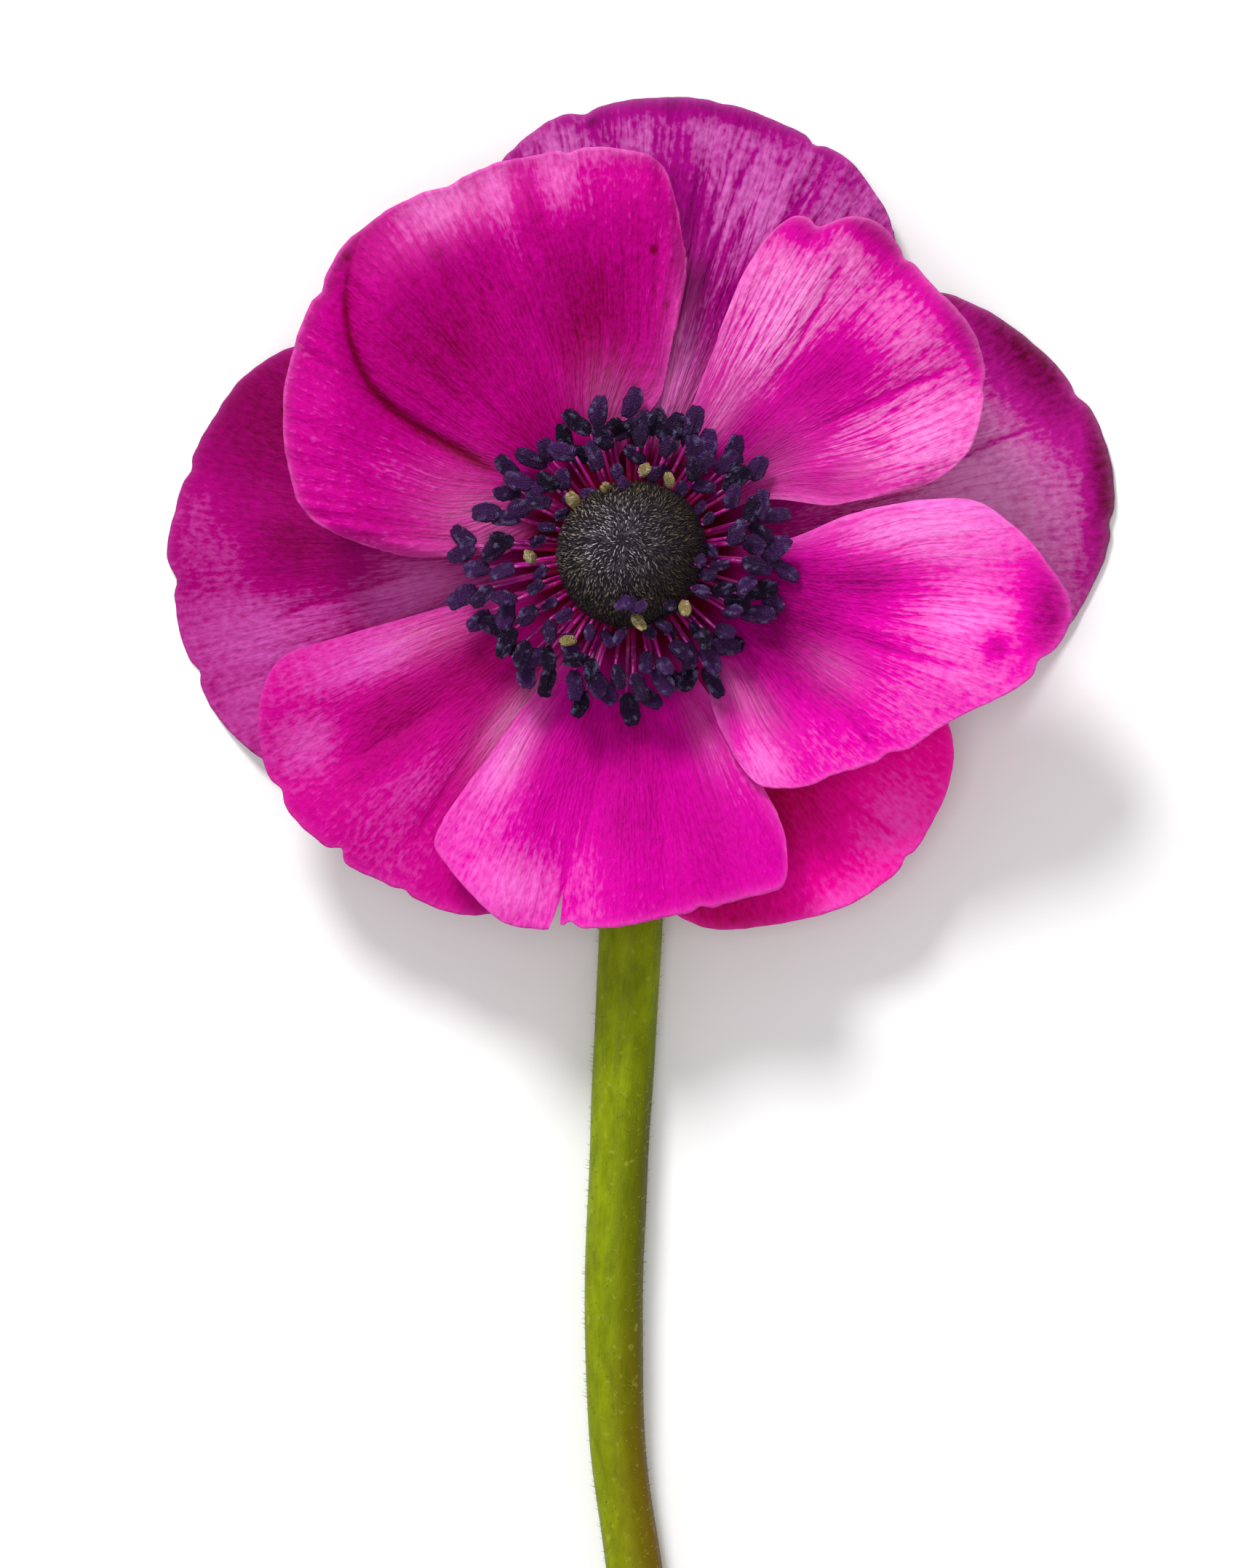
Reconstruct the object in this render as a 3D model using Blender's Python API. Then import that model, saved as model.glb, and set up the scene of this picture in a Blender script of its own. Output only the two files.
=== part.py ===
# An anemone flower on its cut stem. It lies on a flat surface: the stem rests along -Y, its neck
# bends up under the head, and the open face looks up. All design sizes are in millimetres.
import math
import random

import bmesh
import bpy
from mathutils import Vector

MM = 0.001
ORIGIN_OFFSET = (-0.88, 39.38, 0.0)  # from the middle of the whole lying flower to the head's axis

# Stem: its centre line from the cut end to the top of the receptacle, with the radius there
STEM_SIDES = 14
STEM_LINE = (
    # x, y, z, radius
    (3.9, -121.5, 2.7, 2.7),
    (2.2, -108.0, 2.7, 2.7),
    (0.2, -95.0, 2.7, 2.7),
    (-1.3, -84.0, 2.7, 2.7),
    (-1.7, -73.0, 2.8, 2.8),
    (-1.4, -61.0, 2.85, 2.85),
    (-0.8, -48.0, 2.95, 2.95),
    (-0.1, -35.0, 3.05, 3.05),
    (0.2, -23.0, 3.1, 3.1),
    (0.2, -13.2, 4.2, 3.05),
    (0.1, -5.9, 6.8, 3.05),
    (0.0, -1.3, 9.9, 3.3),
)
STEM_STEPS_PER_SPAN = 2
STEM_END_SLANT = 0.6  # the cut end leans this far along the stem from its lower to its upper side
RECEPTACLE_RADIUS = 4.9
RECEPTACLE_FOOT_Z = 11.2
RECEPTACLE_TOP_Z = 18.2
RECEPTACLE_PROFILE = (
    # height and radius from the neck to the top
    (RECEPTACLE_FOOT_Z - 0.2, 4.2),
    (RECEPTACLE_FOOT_Z + 0.5, RECEPTACLE_RADIUS),
    (RECEPTACLE_TOP_Z - 0.5, RECEPTACLE_RADIUS),
    (RECEPTACLE_TOP_Z, RECEPTACLE_RADIUS - 0.6),
)

# Tepals: thin blades seated round the receptacle in four storeys
TEPAL_THICKNESS = 0.5
TEPAL_COLUMNS = 12
TEPAL_ROWS = 10
CLAW_RADIUS = RECEPTACLE_RADIUS + 0.3
CLAW_HALF_ANGLE = 25.0
FAN_REACH = 0.5  # share of the blade's length over which it widens from claw to full spread
LOWEST_SEAT_Z = RECEPTACLE_FOOT_Z + 0.6
SEAT_STEP = 0.82
# direction and spread are degrees round the head; rim is the blade's reach from the head's axis at
# thirteen even stations from its clockwise to its anticlockwise side; lift is how far the tip stands
# above the seat, bow the rise of the middle, cup the rise of the sides, wave the ruffle at the rim
TEPALS = {
    "tepal_left": dict(
        storey=0, direction=177, spread=40,
        rim=(27.5, 30, 33, 37.6, 40.6, 42.4, 43.6, 43.4, 42.4, 41, 38, 33.4, 29),
        lift=-12.0, bow=3.0, cup=-0.6, wave=0.7, cycles=1.2, phase=0.6),
    "tepal_right": dict(
        storey=0, direction=12, spread=33,
        rim=(27, 30.5, 35.5, 40.4, 43.4, 45.4, 46, 45, 42.6, 40.3, 38, 33.5, 28.5),
        lift=-12.0, bow=2.3, cup=-0.5, wave=0.8, cycles=1.1, phase=2.4),
    "tepal_lower_right_back": dict(
        storey=0, direction=305, spread=33,
        rim=(27, 30.5, 33.8, 35.8, 36.9, 38.1, 38.7, 38.4, 37.2, 35.4, 32, 28, 25),
        lift=-3.0, bow=0.4, cup=0.6, wave=0.6, cycles=1.3, phase=1.0),
    "tepal_top": dict(
        storey=1, direction=78, spread=38,
        rim=(26.5, 29.6, 34.6, 39.2, 42, 43, 43.6, 43.2, 42.2, 40.4, 37, 32, 27),
        lift=-12.7, bow=4.8, cup=0.3, wave=0.8, cycles=1.6, phase=0.0),
    "tepal_lower_left": dict(
        storey=1, direction=226, spread=30,
        rim=(32, 34.5, 36.6, 38.3, 39.7, 40, 39.6, 38.4, 37.8, 36.7, 34.5, 31, 28),
        lift=-0.6, bow=0.5, cup=0.4, wave=0.5, cycles=1.4, phase=2.0),
    "tepal_bottom": dict(
        storey=2, direction=267, spread=32,
        rim=(30.5, 32.9, 33.8, 35, 36.3, 35.7, 34.9, 34.2, 34, 34, 33.9, 30.8, 28),
        lift=5.0, bow=-1.4, cup=1.0, wave=0.7, cycles=1.5, phase=1.2),
    "tepal_lower_right_front": dict(
        storey=3, direction=333.5, spread=36.5,
        rim=(21.5, 24.3, 25.8, 27.3, 28.7, 31.3, 34.2, 38.9, 41.1, 38, 34.7, 31.8, 27),
        lift=6.4, bow=-0.9, cup=1.4, wave=0.6, cycles=1.3, phase=0.4),
    "tepal_upper_left": dict(
        storey=3, direction=130, spread=51,
        rim=(26, 29.5, 36, 37.5, 37.8, 38.3, 38.9, 37.4, 35.4, 32.8, 29.8, 23.5, 19.5),
        lift=8.0, bow=-2.2, cup=2.4, wave=0.5, cycles=1.0, phase=0.8),
    "tepal_upper_right": dict(
        storey=3, direction=40.5, spread=27.5,
        rim=(27.5, 30, 32.8, 34.8, 37, 37.6, 37.4, 37.8, 37.8, 35.6, 34.6, 31, 27),
        lift=5.0, bow=-1.4, cup=1.6, wave=0.6, cycles=1.4, phase=2.6),
}
FOLDED_TEPAL = "tepal_upper_left"  # a lengthwise fold parts its left third from the rest
FOLD_SIDE = 0.36  # where the fold runs, as a share of the spread
FOLD_SWING = 0.3  # how far it swings towards the middle near the rim
FOLD_SWING_START = 0.7
FOLD_HALF_WIDTH = 0.13
FOLD_DEPTH = 2.2
FLAP_RISE = 3.0  # how far the third beyond the fold turns up

# Carpel boss: a dome of packed carpels on the receptacle
BOSS_BASE_Z = RECEPTACLE_TOP_Z + 0.3
BOSS_BASE_RADIUS = 4.6
BOSS_SHOULDER = (6.5, BOSS_BASE_Z + 0.9)  # radius and height just above its narrow base
BOSS_RADIUS = 7.1
BOSS_WAIST_Z = BOSS_BASE_Z + 2.4
BOSS_HEIGHT = 5.6  # from its widest level to its top
BOSS_SIDES = 20
BOSS_RINGS = 6

# Stamens: four whorls, each a narrow collar round the receptacle that carries its filaments
COLLAR_INNER = RECEPTACLE_RADIUS + 0.3
COLLAR_OUTER = COLLAR_INNER + 0.6
COLLAR_HEIGHT = 0.5
COLLAR_GAP = 0.3
LOWEST_COLLAR_Z = LOWEST_SEAT_Z + 3 * SEAT_STEP + TEPAL_THICKNESS / 2 + 0.35
FILAMENT_WIDTH = 0.42
FILAMENT_INSET = 0.06  # how far a filament's root stands in from the edges of its seat on the collar
FILAMENT_SAG = 0.17  # the middle of a filament hangs below its chord by this share of its rise
# how far the anthers' ring reaches from the head's axis, every thirty degrees round the head
RING_REACH = (15.6, 15.5, 14.2, 14.9, 14.4, 15.0, 17.3, 17.2, 16.2, 15.9, 15.2, 14.8)
ANTHER_STEPS = ((0.22, 1.0), (0.78, 1.0), (1.0, 0.5))  # share of the length, share of the width
WHORLS = {
    # filaments, where the anthers' tips stand as a share of the ring's reach, their rise above the
    # whorl's collar, how much both differ from one stamen to the next, and the anthers' length,
    # width and depth
    "stamens_outer": dict(count=42, share=0.99, rise=3.0, scatter=0.5, anther=(2.7, 1.5, 1.0)),
    "stamens_second": dict(count=38, share=0.88, rise=4.0, scatter=0.4, anther=(2.6, 1.5, 1.0)),
    "stamens_third": dict(count=28, share=0.76, rise=4.6, scatter=0.3, anther=(2.4, 1.4, 0.9)),
    "stamens_inner": dict(count=30, share=0.645, rise=4.9, scatter=0.15, anther=(1.5, 0.9, 0.7)),
}
STAMEN_SEED = 11

# Materials: colour, roughness
MAGENTA = ((0.52, 0.0, 0.27), 0.5)
DEEP_MAGENTA = ((0.36, 0.004, 0.2), 0.55)
GREEN = ((0.2, 0.26, 0.02), 0.5)
BLACK_OLIVE = ((0.03, 0.028, 0.02), 0.7)
VIOLET_BLACK = ((0.022, 0.012, 0.04), 0.6)


def clear_scene():
    for obj in list(bpy.data.objects):
        bpy.data.objects.remove(obj, do_unlink=True)


def material(name, finish):
    colour, roughness = finish
    made = bpy.data.materials.new(name)
    made.use_nodes = True
    shader = made.node_tree.nodes["Principled BSDF"]
    shader.inputs["Base Color"].default_value = (*colour, 1.0)
    shader.inputs["Roughness"].default_value = roughness
    shader.inputs["Metallic"].default_value = 0.0
    return made


def add_object(name, bm, finish, head):
    """An object made from bm, whose sizes are in millimetres, hung on the head's empty."""
    bmesh.ops.scale(bm, vec=(MM, MM, MM), verts=bm.verts)
    mesh = bpy.data.meshes.new(name)
    bm.to_mesh(mesh)
    bm.free()
    mesh.shade_smooth()
    mesh.materials.append(finish)
    obj = bpy.data.objects.new(name, mesh)
    obj.parent = head
    bpy.context.scene.collection.objects.link(obj)
    return obj


def smooth_step(x):
    x = min(max(x, 0.0), 1.0)
    return x * x * (3.0 - 2.0 * x)


def curve_through(values, position):
    """A smooth curve through evenly spaced values, read at a position counted in stations."""
    last = len(values) - 1
    i = min(int(position), last - 1)
    t = position - i
    a, b = values[i], values[i + 1]
    before = values[i - 1] if i else 2 * a - b
    after = values[i + 2] if i + 2 <= last else 2 * b - a
    into, out = (b - before) / 2, (after - a) / 2
    t2, t3 = t * t, t * t * t
    return (2 * t3 - 3 * t2 + 1) * a + (t3 - 2 * t2 + t) * into + (3 * t2 - 2 * t3) * b + (t3 - t2) * out


def fold_height(side, reach):
    """The valley of the folded tepal, which runs out from the base and swings to the middle of the rim."""
    line = FOLD_SIDE - FOLD_SWING * smooth_step((reach - FOLD_SWING_START) / (1 - FOLD_SWING_START))
    across = (side - line) / FOLD_HALF_WIDTH
    beyond = max(side - line, 0.0)
    height = FLAP_RISE * beyond - FOLD_DEPTH * math.exp(-across * across)
    return height * smooth_step(reach * 1.6)


def tepal_point(name, shape, across, along):
    """A point of the blade: across from -1 to 1 over its width, along from 0 at the claw to 1 at the rim."""
    side = math.sin(across * math.pi / 2)
    rim = curve_through(shape["rim"], (across + 1) / 2 * (len(shape["rim"]) - 1))
    radius = CLAW_RADIUS + (rim - CLAW_RADIUS) * along
    widening = smooth_step(along / FAN_REACH)
    half_angle = CLAW_HALF_ANGLE + (shape["spread"] - CLAW_HALF_ANGLE) * widening
    angle = math.radians(shape["direction"] + side * half_angle)
    reach = (radius - CLAW_RADIUS) / (max(shape["rim"]) - CLAW_RADIUS)
    z = LOWEST_SEAT_Z + SEAT_STEP * shape["storey"]
    z += shape["lift"] * reach + shape["bow"] * 4 * reach * (1 - reach)
    z += shape["cup"] * side * side * reach
    z += shape["wave"] * reach * reach * math.sin(math.tau * shape["cycles"] * side + shape["phase"])
    if name == FOLDED_TEPAL:
        z += fold_height(side, reach)
    # a blade that would dip below the surface lies on it
    rest = TEPAL_THICKNESS / 2
    z = (z + rest + math.sqrt((z - rest) ** 2 + 0.01)) / 2
    return Vector((radius * math.cos(angle), radius * math.sin(angle), z))


def make_tepal(name, shape, finish, head):
    bm = bmesh.new()
    bmesh.ops.create_grid(bm, x_segments=TEPAL_COLUMNS, y_segments=TEPAL_ROWS, size=1.0)
    for vert in bm.verts:
        vert.co = tepal_point(name, shape, -vert.co.x, (vert.co.y + 1) / 2)
    obj = add_object(name, bm, finish, head)
    solidify = obj.modifiers.new("Thickness", "SOLIDIFY")
    solidify.thickness = TEPAL_THICKNESS * MM
    solidify.offset = 0.0


def ring_at(ring, centre, tangent, radius):
    """Places a ring of vertices round a centre, square to a tangent that has no component along X."""
    side = Vector((1.0, 0.0, 0.0))
    up = tangent.cross(side).normalized()
    for i, vert in enumerate(ring):
        angle = math.tau * i / len(ring)
        vert.co = centre + radius * (math.cos(angle) * side + math.sin(angle) * up)


def stem_stations():
    """Centre, tangent and radius along the stem, then up its receptacle."""
    steps = (len(STEM_LINE) - 1) * STEM_STEPS_PER_SPAN
    columns = list(zip(*STEM_LINE))

    def at(position):
        return Vector([curve_through(column, position) for column in columns[:3]])

    stations = []
    for step in range(steps + 1):
        position = step / STEM_STEPS_PER_SPAN
        tangent = at(min(position + 0.02, len(STEM_LINE) - 1)) - at(max(position - 0.02, 0))
        tangent.x = 0.0
        stations.append((at(position), tangent.normalized(), curve_through(columns[3], position)))
    up = Vector((0.0, 0.0, 1.0))
    stations += [(Vector((0.0, 0.0, z)), up, radius) for z, radius in RECEPTACLE_PROFILE]
    return stations


def ring_edges(bm, ring):
    return [bm.edges.get((ring[i - 1], ring[i])) for i in range(len(ring))]


def make_stem(finish, head):
    bm = bmesh.new()
    ring = bmesh.ops.create_circle(bm, cap_ends=True, segments=STEM_SIDES, radius=1.0)["verts"]
    stations = stem_stations()
    ring_at(ring, *stations[0])
    for vert in ring:
        vert.co.y += STEM_END_SLANT * (vert.co.z / STEM_LINE[0][3] - 1)
    for station in stations[1:]:
        grown = bmesh.ops.extrude_edge_only(bm, edges=ring_edges(bm, ring))["geom"]
        fresh = {item for item in grown if isinstance(item, bmesh.types.BMVert)}
        ring = [
            next(edge.other_vert(vert) for edge in vert.link_edges if edge.other_vert(vert) in fresh)
            for vert in ring
        ]
        ring_at(ring, *station)
    bmesh.ops.contextual_create(bm, geom=ring_edges(bm, ring))
    bmesh.ops.recalc_face_normals(bm, faces=bm.faces)
    add_object("stem", bm, finish, head)


def make_boss(finish, head):
    profile = [(BOSS_BASE_RADIUS, BOSS_BASE_Z), BOSS_SHOULDER]
    for step in range(BOSS_RINGS + 1):
        angle = step / BOSS_RINGS * math.pi / 2
        profile.append((BOSS_RADIUS * math.cos(angle), BOSS_WAIST_Z + BOSS_HEIGHT * math.sin(angle)))
    bm = bmesh.new()
    points = [Vector((0.0, 0.0, BOSS_BASE_Z))] + [Vector((r, 0.0, z)) for r, z in profile]
    points[-1].x = 0.0
    verts = [bm.verts.new(point) for point in points]
    edges = [bm.edges.new(pair) for pair in zip(verts, verts[1:])]
    bmesh.ops.spin(
        bm, geom=verts + edges, cent=(0, 0, 0), axis=(0, 0, 1), angle=math.tau, steps=BOSS_SIDES, use_merge=True)
    bmesh.ops.remove_doubles(bm, verts=bm.verts, dist=0.01)
    bmesh.ops.recalc_face_normals(bm, faces=bm.faces)
    add_object("carpel_boss", bm, finish, head)


def extrude_to(bm, face, centre, direction, width, depth):
    """Draws a four-sided end face out to a new centre and squares it to a direction."""
    grown = bmesh.ops.extrude_discrete_faces(bm, faces=[face])["faces"][0]
    grown.normal_update()
    level = Vector((-direction.y, direction.x, 0.0)).normalized()
    rise_before = grown.normal.cross(level)
    rise = direction.cross(level)
    middle = grown.calc_center_median()
    places = {}
    for vert in grown.verts:
        offset = vert.co - middle
        across = math.copysign(width / 2, offset.dot(level))
        up = math.copysign(depth / 2, offset.dot(rise_before))
        places[vert] = centre + across * level + up * rise
    for vert, place in places.items():
        vert.co = place
    return grown


def ring_reach(turn):
    position = math.degrees(turn) % 360 / 360 * len(RING_REACH)
    return curve_through(RING_REACH + RING_REACH[:2], position)


def make_whorl(name, shape, collar_z, seed, finish, head):
    """A collar whose outer faces are drawn out into filaments, each ending in its anther."""
    rng = random.Random(seed)
    bm = bmesh.new()
    corners = (
        (COLLAR_INNER, collar_z),
        (COLLAR_OUTER, collar_z),
        (COLLAR_OUTER, collar_z + COLLAR_HEIGHT),
        (COLLAR_INNER, collar_z + COLLAR_HEIGHT),
    )
    verts = [bm.verts.new((r, 0.0, z)) for r, z in corners]
    edges = [bm.edges.new((verts[i], verts[(i + 1) % 4])) for i in range(4)]
    bmesh.ops.spin(
        bm, geom=verts + edges, cent=(0, 0, 0), axis=(0, 0, 1), angle=math.tau,
        steps=shape["count"], use_merge=True)
    bmesh.ops.remove_doubles(bm, verts=bm.verts, dist=0.01)
    bmesh.ops.recalc_face_normals(bm, faces=bm.faces)
    bm.normal_update()
    seats = [f for f in bm.faces if f.calc_center_median().xy.length > (COLLAR_INNER + COLLAR_OUTER) / 2
             and abs(f.normal.z) < 0.5]
    seats.sort(key=lambda f: math.atan2(f.calc_center_median().y, f.calc_center_median().x))
    length, width, depth = shape["anther"]
    for seat in seats:
        start = seat.calc_center_median()
        turn = math.atan2(start.y, start.x) + rng.uniform(-0.15, 0.15) * math.tau / shape["count"]
        outward = Vector((math.cos(turn), math.sin(turn), 0.0))
        reach = ring_reach(turn) * shape["share"] - length + rng.uniform(-1, 1) * shape["scatter"]
        foot = reach * outward
        foot.z = collar_z + shape["rise"] + rng.uniform(-1, 1) * shape["scatter"]
        bend = start.lerp(foot, 0.5)
        bend.z -= FILAMENT_SAG * (foot.z - start.z)
        bmesh.ops.inset_individual(bm, faces=[seat], thickness=FILAMENT_INSET)
        face = extrude_to(bm, seat, bend, (foot - start).normalized(), FILAMENT_WIDTH, FILAMENT_WIDTH)
        lean = (foot - bend).normalized()
        face = extrude_to(bm, face, foot, lean, FILAMENT_WIDTH, FILAMENT_WIDTH)
        point = (lean * 0.6 + outward * rng.uniform(0.1, 0.5) + Vector((0, 0, 0.3))).normalized()
        for along, size in ANTHER_STEPS:
            face = extrude_to(bm, face, foot + point * length * along, point, width * size, depth * size)
    add_object(name, bm, finish, head)


def main():
    clear_scene()
    head = bpy.data.objects.new("head_axis", None)
    head.location = [value * MM for value in ORIGIN_OFFSET]
    bpy.context.scene.collection.objects.link(head)
    front = material("tepal_front", MAGENTA)
    back = material("tepal_back", DEEP_MAGENTA)
    for name, shape in TEPALS.items():
        make_tepal(name, shape, front if shape["storey"] > 1 else back, head)
    make_stem(material("stem", GREEN), head)
    make_boss(material("carpels", BLACK_OLIVE), head)
    anthers = material("stamens", VIOLET_BLACK)
    for i, (name, shape) in enumerate(WHORLS.items()):
        collar_z = LOWEST_COLLAR_Z + i * (COLLAR_HEIGHT + COLLAR_GAP)
        make_whorl(name, shape, collar_z, STAMEN_SEED + i, anthers, head)


main()
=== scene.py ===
import math
import random

import bmesh
import bpy
from mathutils import Color, Matrix, Vector, noise


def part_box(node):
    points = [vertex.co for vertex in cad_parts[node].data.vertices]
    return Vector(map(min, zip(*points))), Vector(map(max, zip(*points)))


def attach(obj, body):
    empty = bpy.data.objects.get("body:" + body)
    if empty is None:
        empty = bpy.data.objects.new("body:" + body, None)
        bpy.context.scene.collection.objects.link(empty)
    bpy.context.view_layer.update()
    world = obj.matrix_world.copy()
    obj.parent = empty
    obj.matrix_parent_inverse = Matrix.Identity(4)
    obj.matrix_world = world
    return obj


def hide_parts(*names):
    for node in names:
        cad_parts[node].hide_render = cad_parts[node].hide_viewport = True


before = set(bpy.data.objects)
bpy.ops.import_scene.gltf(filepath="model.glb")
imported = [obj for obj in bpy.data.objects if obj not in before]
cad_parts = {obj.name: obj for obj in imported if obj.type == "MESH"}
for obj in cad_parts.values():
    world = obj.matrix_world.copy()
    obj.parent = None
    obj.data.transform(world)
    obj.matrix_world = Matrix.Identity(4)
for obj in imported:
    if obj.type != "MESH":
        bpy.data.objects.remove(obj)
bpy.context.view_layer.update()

scene = bpy.context.scene
mm = 0.001
bossLow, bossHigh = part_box("carpel_boss")
head = (bossLow + bossHigh) / 2  # the head's axis passes through the boss
bossAboveSeat = 6.7  # mm
seatZ = bossLow.z / mm - bossAboveSeat  # where the lowest tepals are seated, in mm above the surface
print("frame loaded, head axis at", [round(v / mm, 1) for v in head])


# small helpers shared by all pieces

def ease(value, begin, end):
    # goes smoothly from 0 at begin to 1 at end
    x = min(max((value - begin) / (end - begin), 0.0), 1.0)
    return x * x * (3.0 - 2.0 * x)


def curveThrough(values, position):
    # a smooth curve through evenly spaced values, read at a position counted in stations
    last = len(values) - 1
    i = min(int(position), last - 1)
    t = position - i
    a, b = values[i], values[i + 1]
    before = values[i - 1] if i else 2 * a - b
    after = values[i + 2] if i + 2 <= last else 2 * b - a
    into, out = (b - before) / 2, (after - a) / 2
    t2, t3 = t * t, t * t * t
    return (2 * t3 - 3 * t2 + 1) * a + (t3 - 2 * t2 + t) * into + (3 * t2 - 2 * t3) * b + (t3 - t2) * out


def turnBetween(a, b):
    # the signed turn in degrees from b to a
    return (a - b + 180.0) % 360.0 - 180.0


def towards(angle):
    # the level direction at this angle in radians round the head
    return Vector((math.cos(angle), math.sin(angle), 0.0))


def meshOf(name, bm):
    mesh = bpy.data.meshes.new(name)
    bm.to_mesh(mesh)
    bm.free()
    return mesh


def addObject(name, data):
    made = bpy.data.objects.new(name, data)
    scene.collection.objects.link(made)
    return made


def uprightCone(sides, low, high, cuts=0):
    # a cone one unit tall that stands on the origin, its flanks cut across
    bm = bmesh.new()
    bmesh.ops.create_cone(bm, cap_ends=True, segments=sides, radius1=low, radius2=high, depth=1.0)
    bmesh.ops.translate(bm, vec=(0, 0, 0.5), verts=bm.verts)
    if cuts:
        flanks = [edge for edge in bm.edges if abs(edge.verts[0].co.z - edge.verts[1].co.z) > 0.5]
        bmesh.ops.subdivide_edges(bm, edges=flanks, cuts=cuts, use_grid_fill=True)
    return bm


def addCopy(bm, template, matrix, change=None):
    # one more copy of a small template mesh: change reshapes each new vertex, then the matrix places it
    known = len(bm.verts)
    bm.from_mesh(template)
    bm.verts.ensure_lookup_table()
    fresh = bm.verts[known:]
    for vert in fresh:
        if change:
            change(vert)
        vert.co = matrix @ vert.co
    return fresh


def standAt(place, direction):
    # the matrix that stands a template at this place with its Z along this direction
    return Matrix.Translation(place) @ direction.to_track_quat("Z", "Y").to_matrix().to_4x4()


def finishPiece(name, bm, materials, nodes=()):
    # bm is in mm round the head's axis; the piece's place ends up in its mesh
    bmesh.ops.scale(bm, vec=(mm, mm, mm), verts=bm.verts)
    bmesh.ops.translate(bm, vec=(head.x, head.y, 0.0), verts=bm.verts)
    mesh = meshOf(name, bm)
    mesh.shade_smooth()
    for finish in materials:
        mesh.materials.append(finish)
    piece = addObject(name, mesh)
    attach(piece, "root")
    if nodes:
        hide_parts(*nodes)
    return piece


# shader helpers and the shared effects

def fromScreen(r, g, b):
    # a colour given as it looks on a screen, 0 to 255, as a linear shader colour
    return (*Color((r / 255, g / 255, b / 255)).from_srgb_to_scene_linear(), 1.0)


def addNode(tree, kind, inputs=None, **settings):
    # a shader node with its settings, and its inputs linked to a socket or set to a value
    made = tree.nodes.new("ShaderNode" + kind)
    for key, value in settings.items():
        setattr(made, key, value)
    for key, value in (inputs or {}).items():
        if isinstance(value, bpy.types.NodeSocket):
            tree.links.new(value, made.inputs[key])
        else:
            made.inputs[key].default_value = value
    return made


def maths(tree, operation, a, b=0.0, clamp=False):
    return addNode(tree, "Math", {0: a, 1: b}, operation=operation, use_clamp=clamp).outputs[0]


def plus(tree, a, b):
    return maths(tree, "ADD", a, b)


def minus(tree, a, b):
    return maths(tree, "SUBTRACT", a, b)


def times(tree, a, b, clamp=False):
    return maths(tree, "MULTIPLY", a, b, clamp)


def mixColours(tree, factor, a, b):
    # sockets 6 and 7 of a Mix node, and output 2, are its colours
    return addNode(tree, "Mix", {0: factor, 6: a, 7: b}, data_type="RGBA").outputs[2]


def paintMasks(tree):
    # the three masks painted on a piece's vertices
    paint = addNode(tree, "Attribute", attribute_name="paint")
    return addNode(tree, "SeparateColor", {0: paint.outputs["Color"]}).outputs


def vertexMask(tree, label):
    return addNode(tree, "Attribute", attribute_name=label).outputs["Fac"]


def uvPlace(tree):
    return addNode(tree, "UVMap", uv_map="UVMap").outputs[0]


def objectPlace(tree):
    return addNode(tree, "TexCoord").outputs["Object"]


def mapRange(tree, value, begin, end):
    # 0 at begin and 1 at end, kept within them
    return addNode(tree, "MapRange", {0: value, 1: begin, 2: end}).outputs[0]


def twoColours(tree, mask, pair):
    # from the first colour of the pair to the second, as the mask rises
    dark, bright = pair
    return mixColours(tree, mask, fromScreen(*dark), fromScreen(*bright))


def tinted(tree, colour, mask, tint, share=1.0):
    # the colour, turned toward a tint where the mask is high
    if share < 1.0:
        mask = times(tree, mask, share)
    return mixColours(tree, mask, colour, fromScreen(*tint))


def newGroup(name, inputs, outputs):
    group = bpy.data.node_groups.new(name, "ShaderNodeTree")
    for label, kind, value in inputs:
        socket = group.interface.new_socket(label, in_out="INPUT", socket_type=kind)
        if value is not None:
            socket.default_value = value
    for label, kind in outputs:
        group.interface.new_socket(label, in_out="OUTPUT", socket_type=kind)
    return group, group.nodes.new("NodeGroupInput").outputs, group.nodes.new("NodeGroupOutput").inputs


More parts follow.
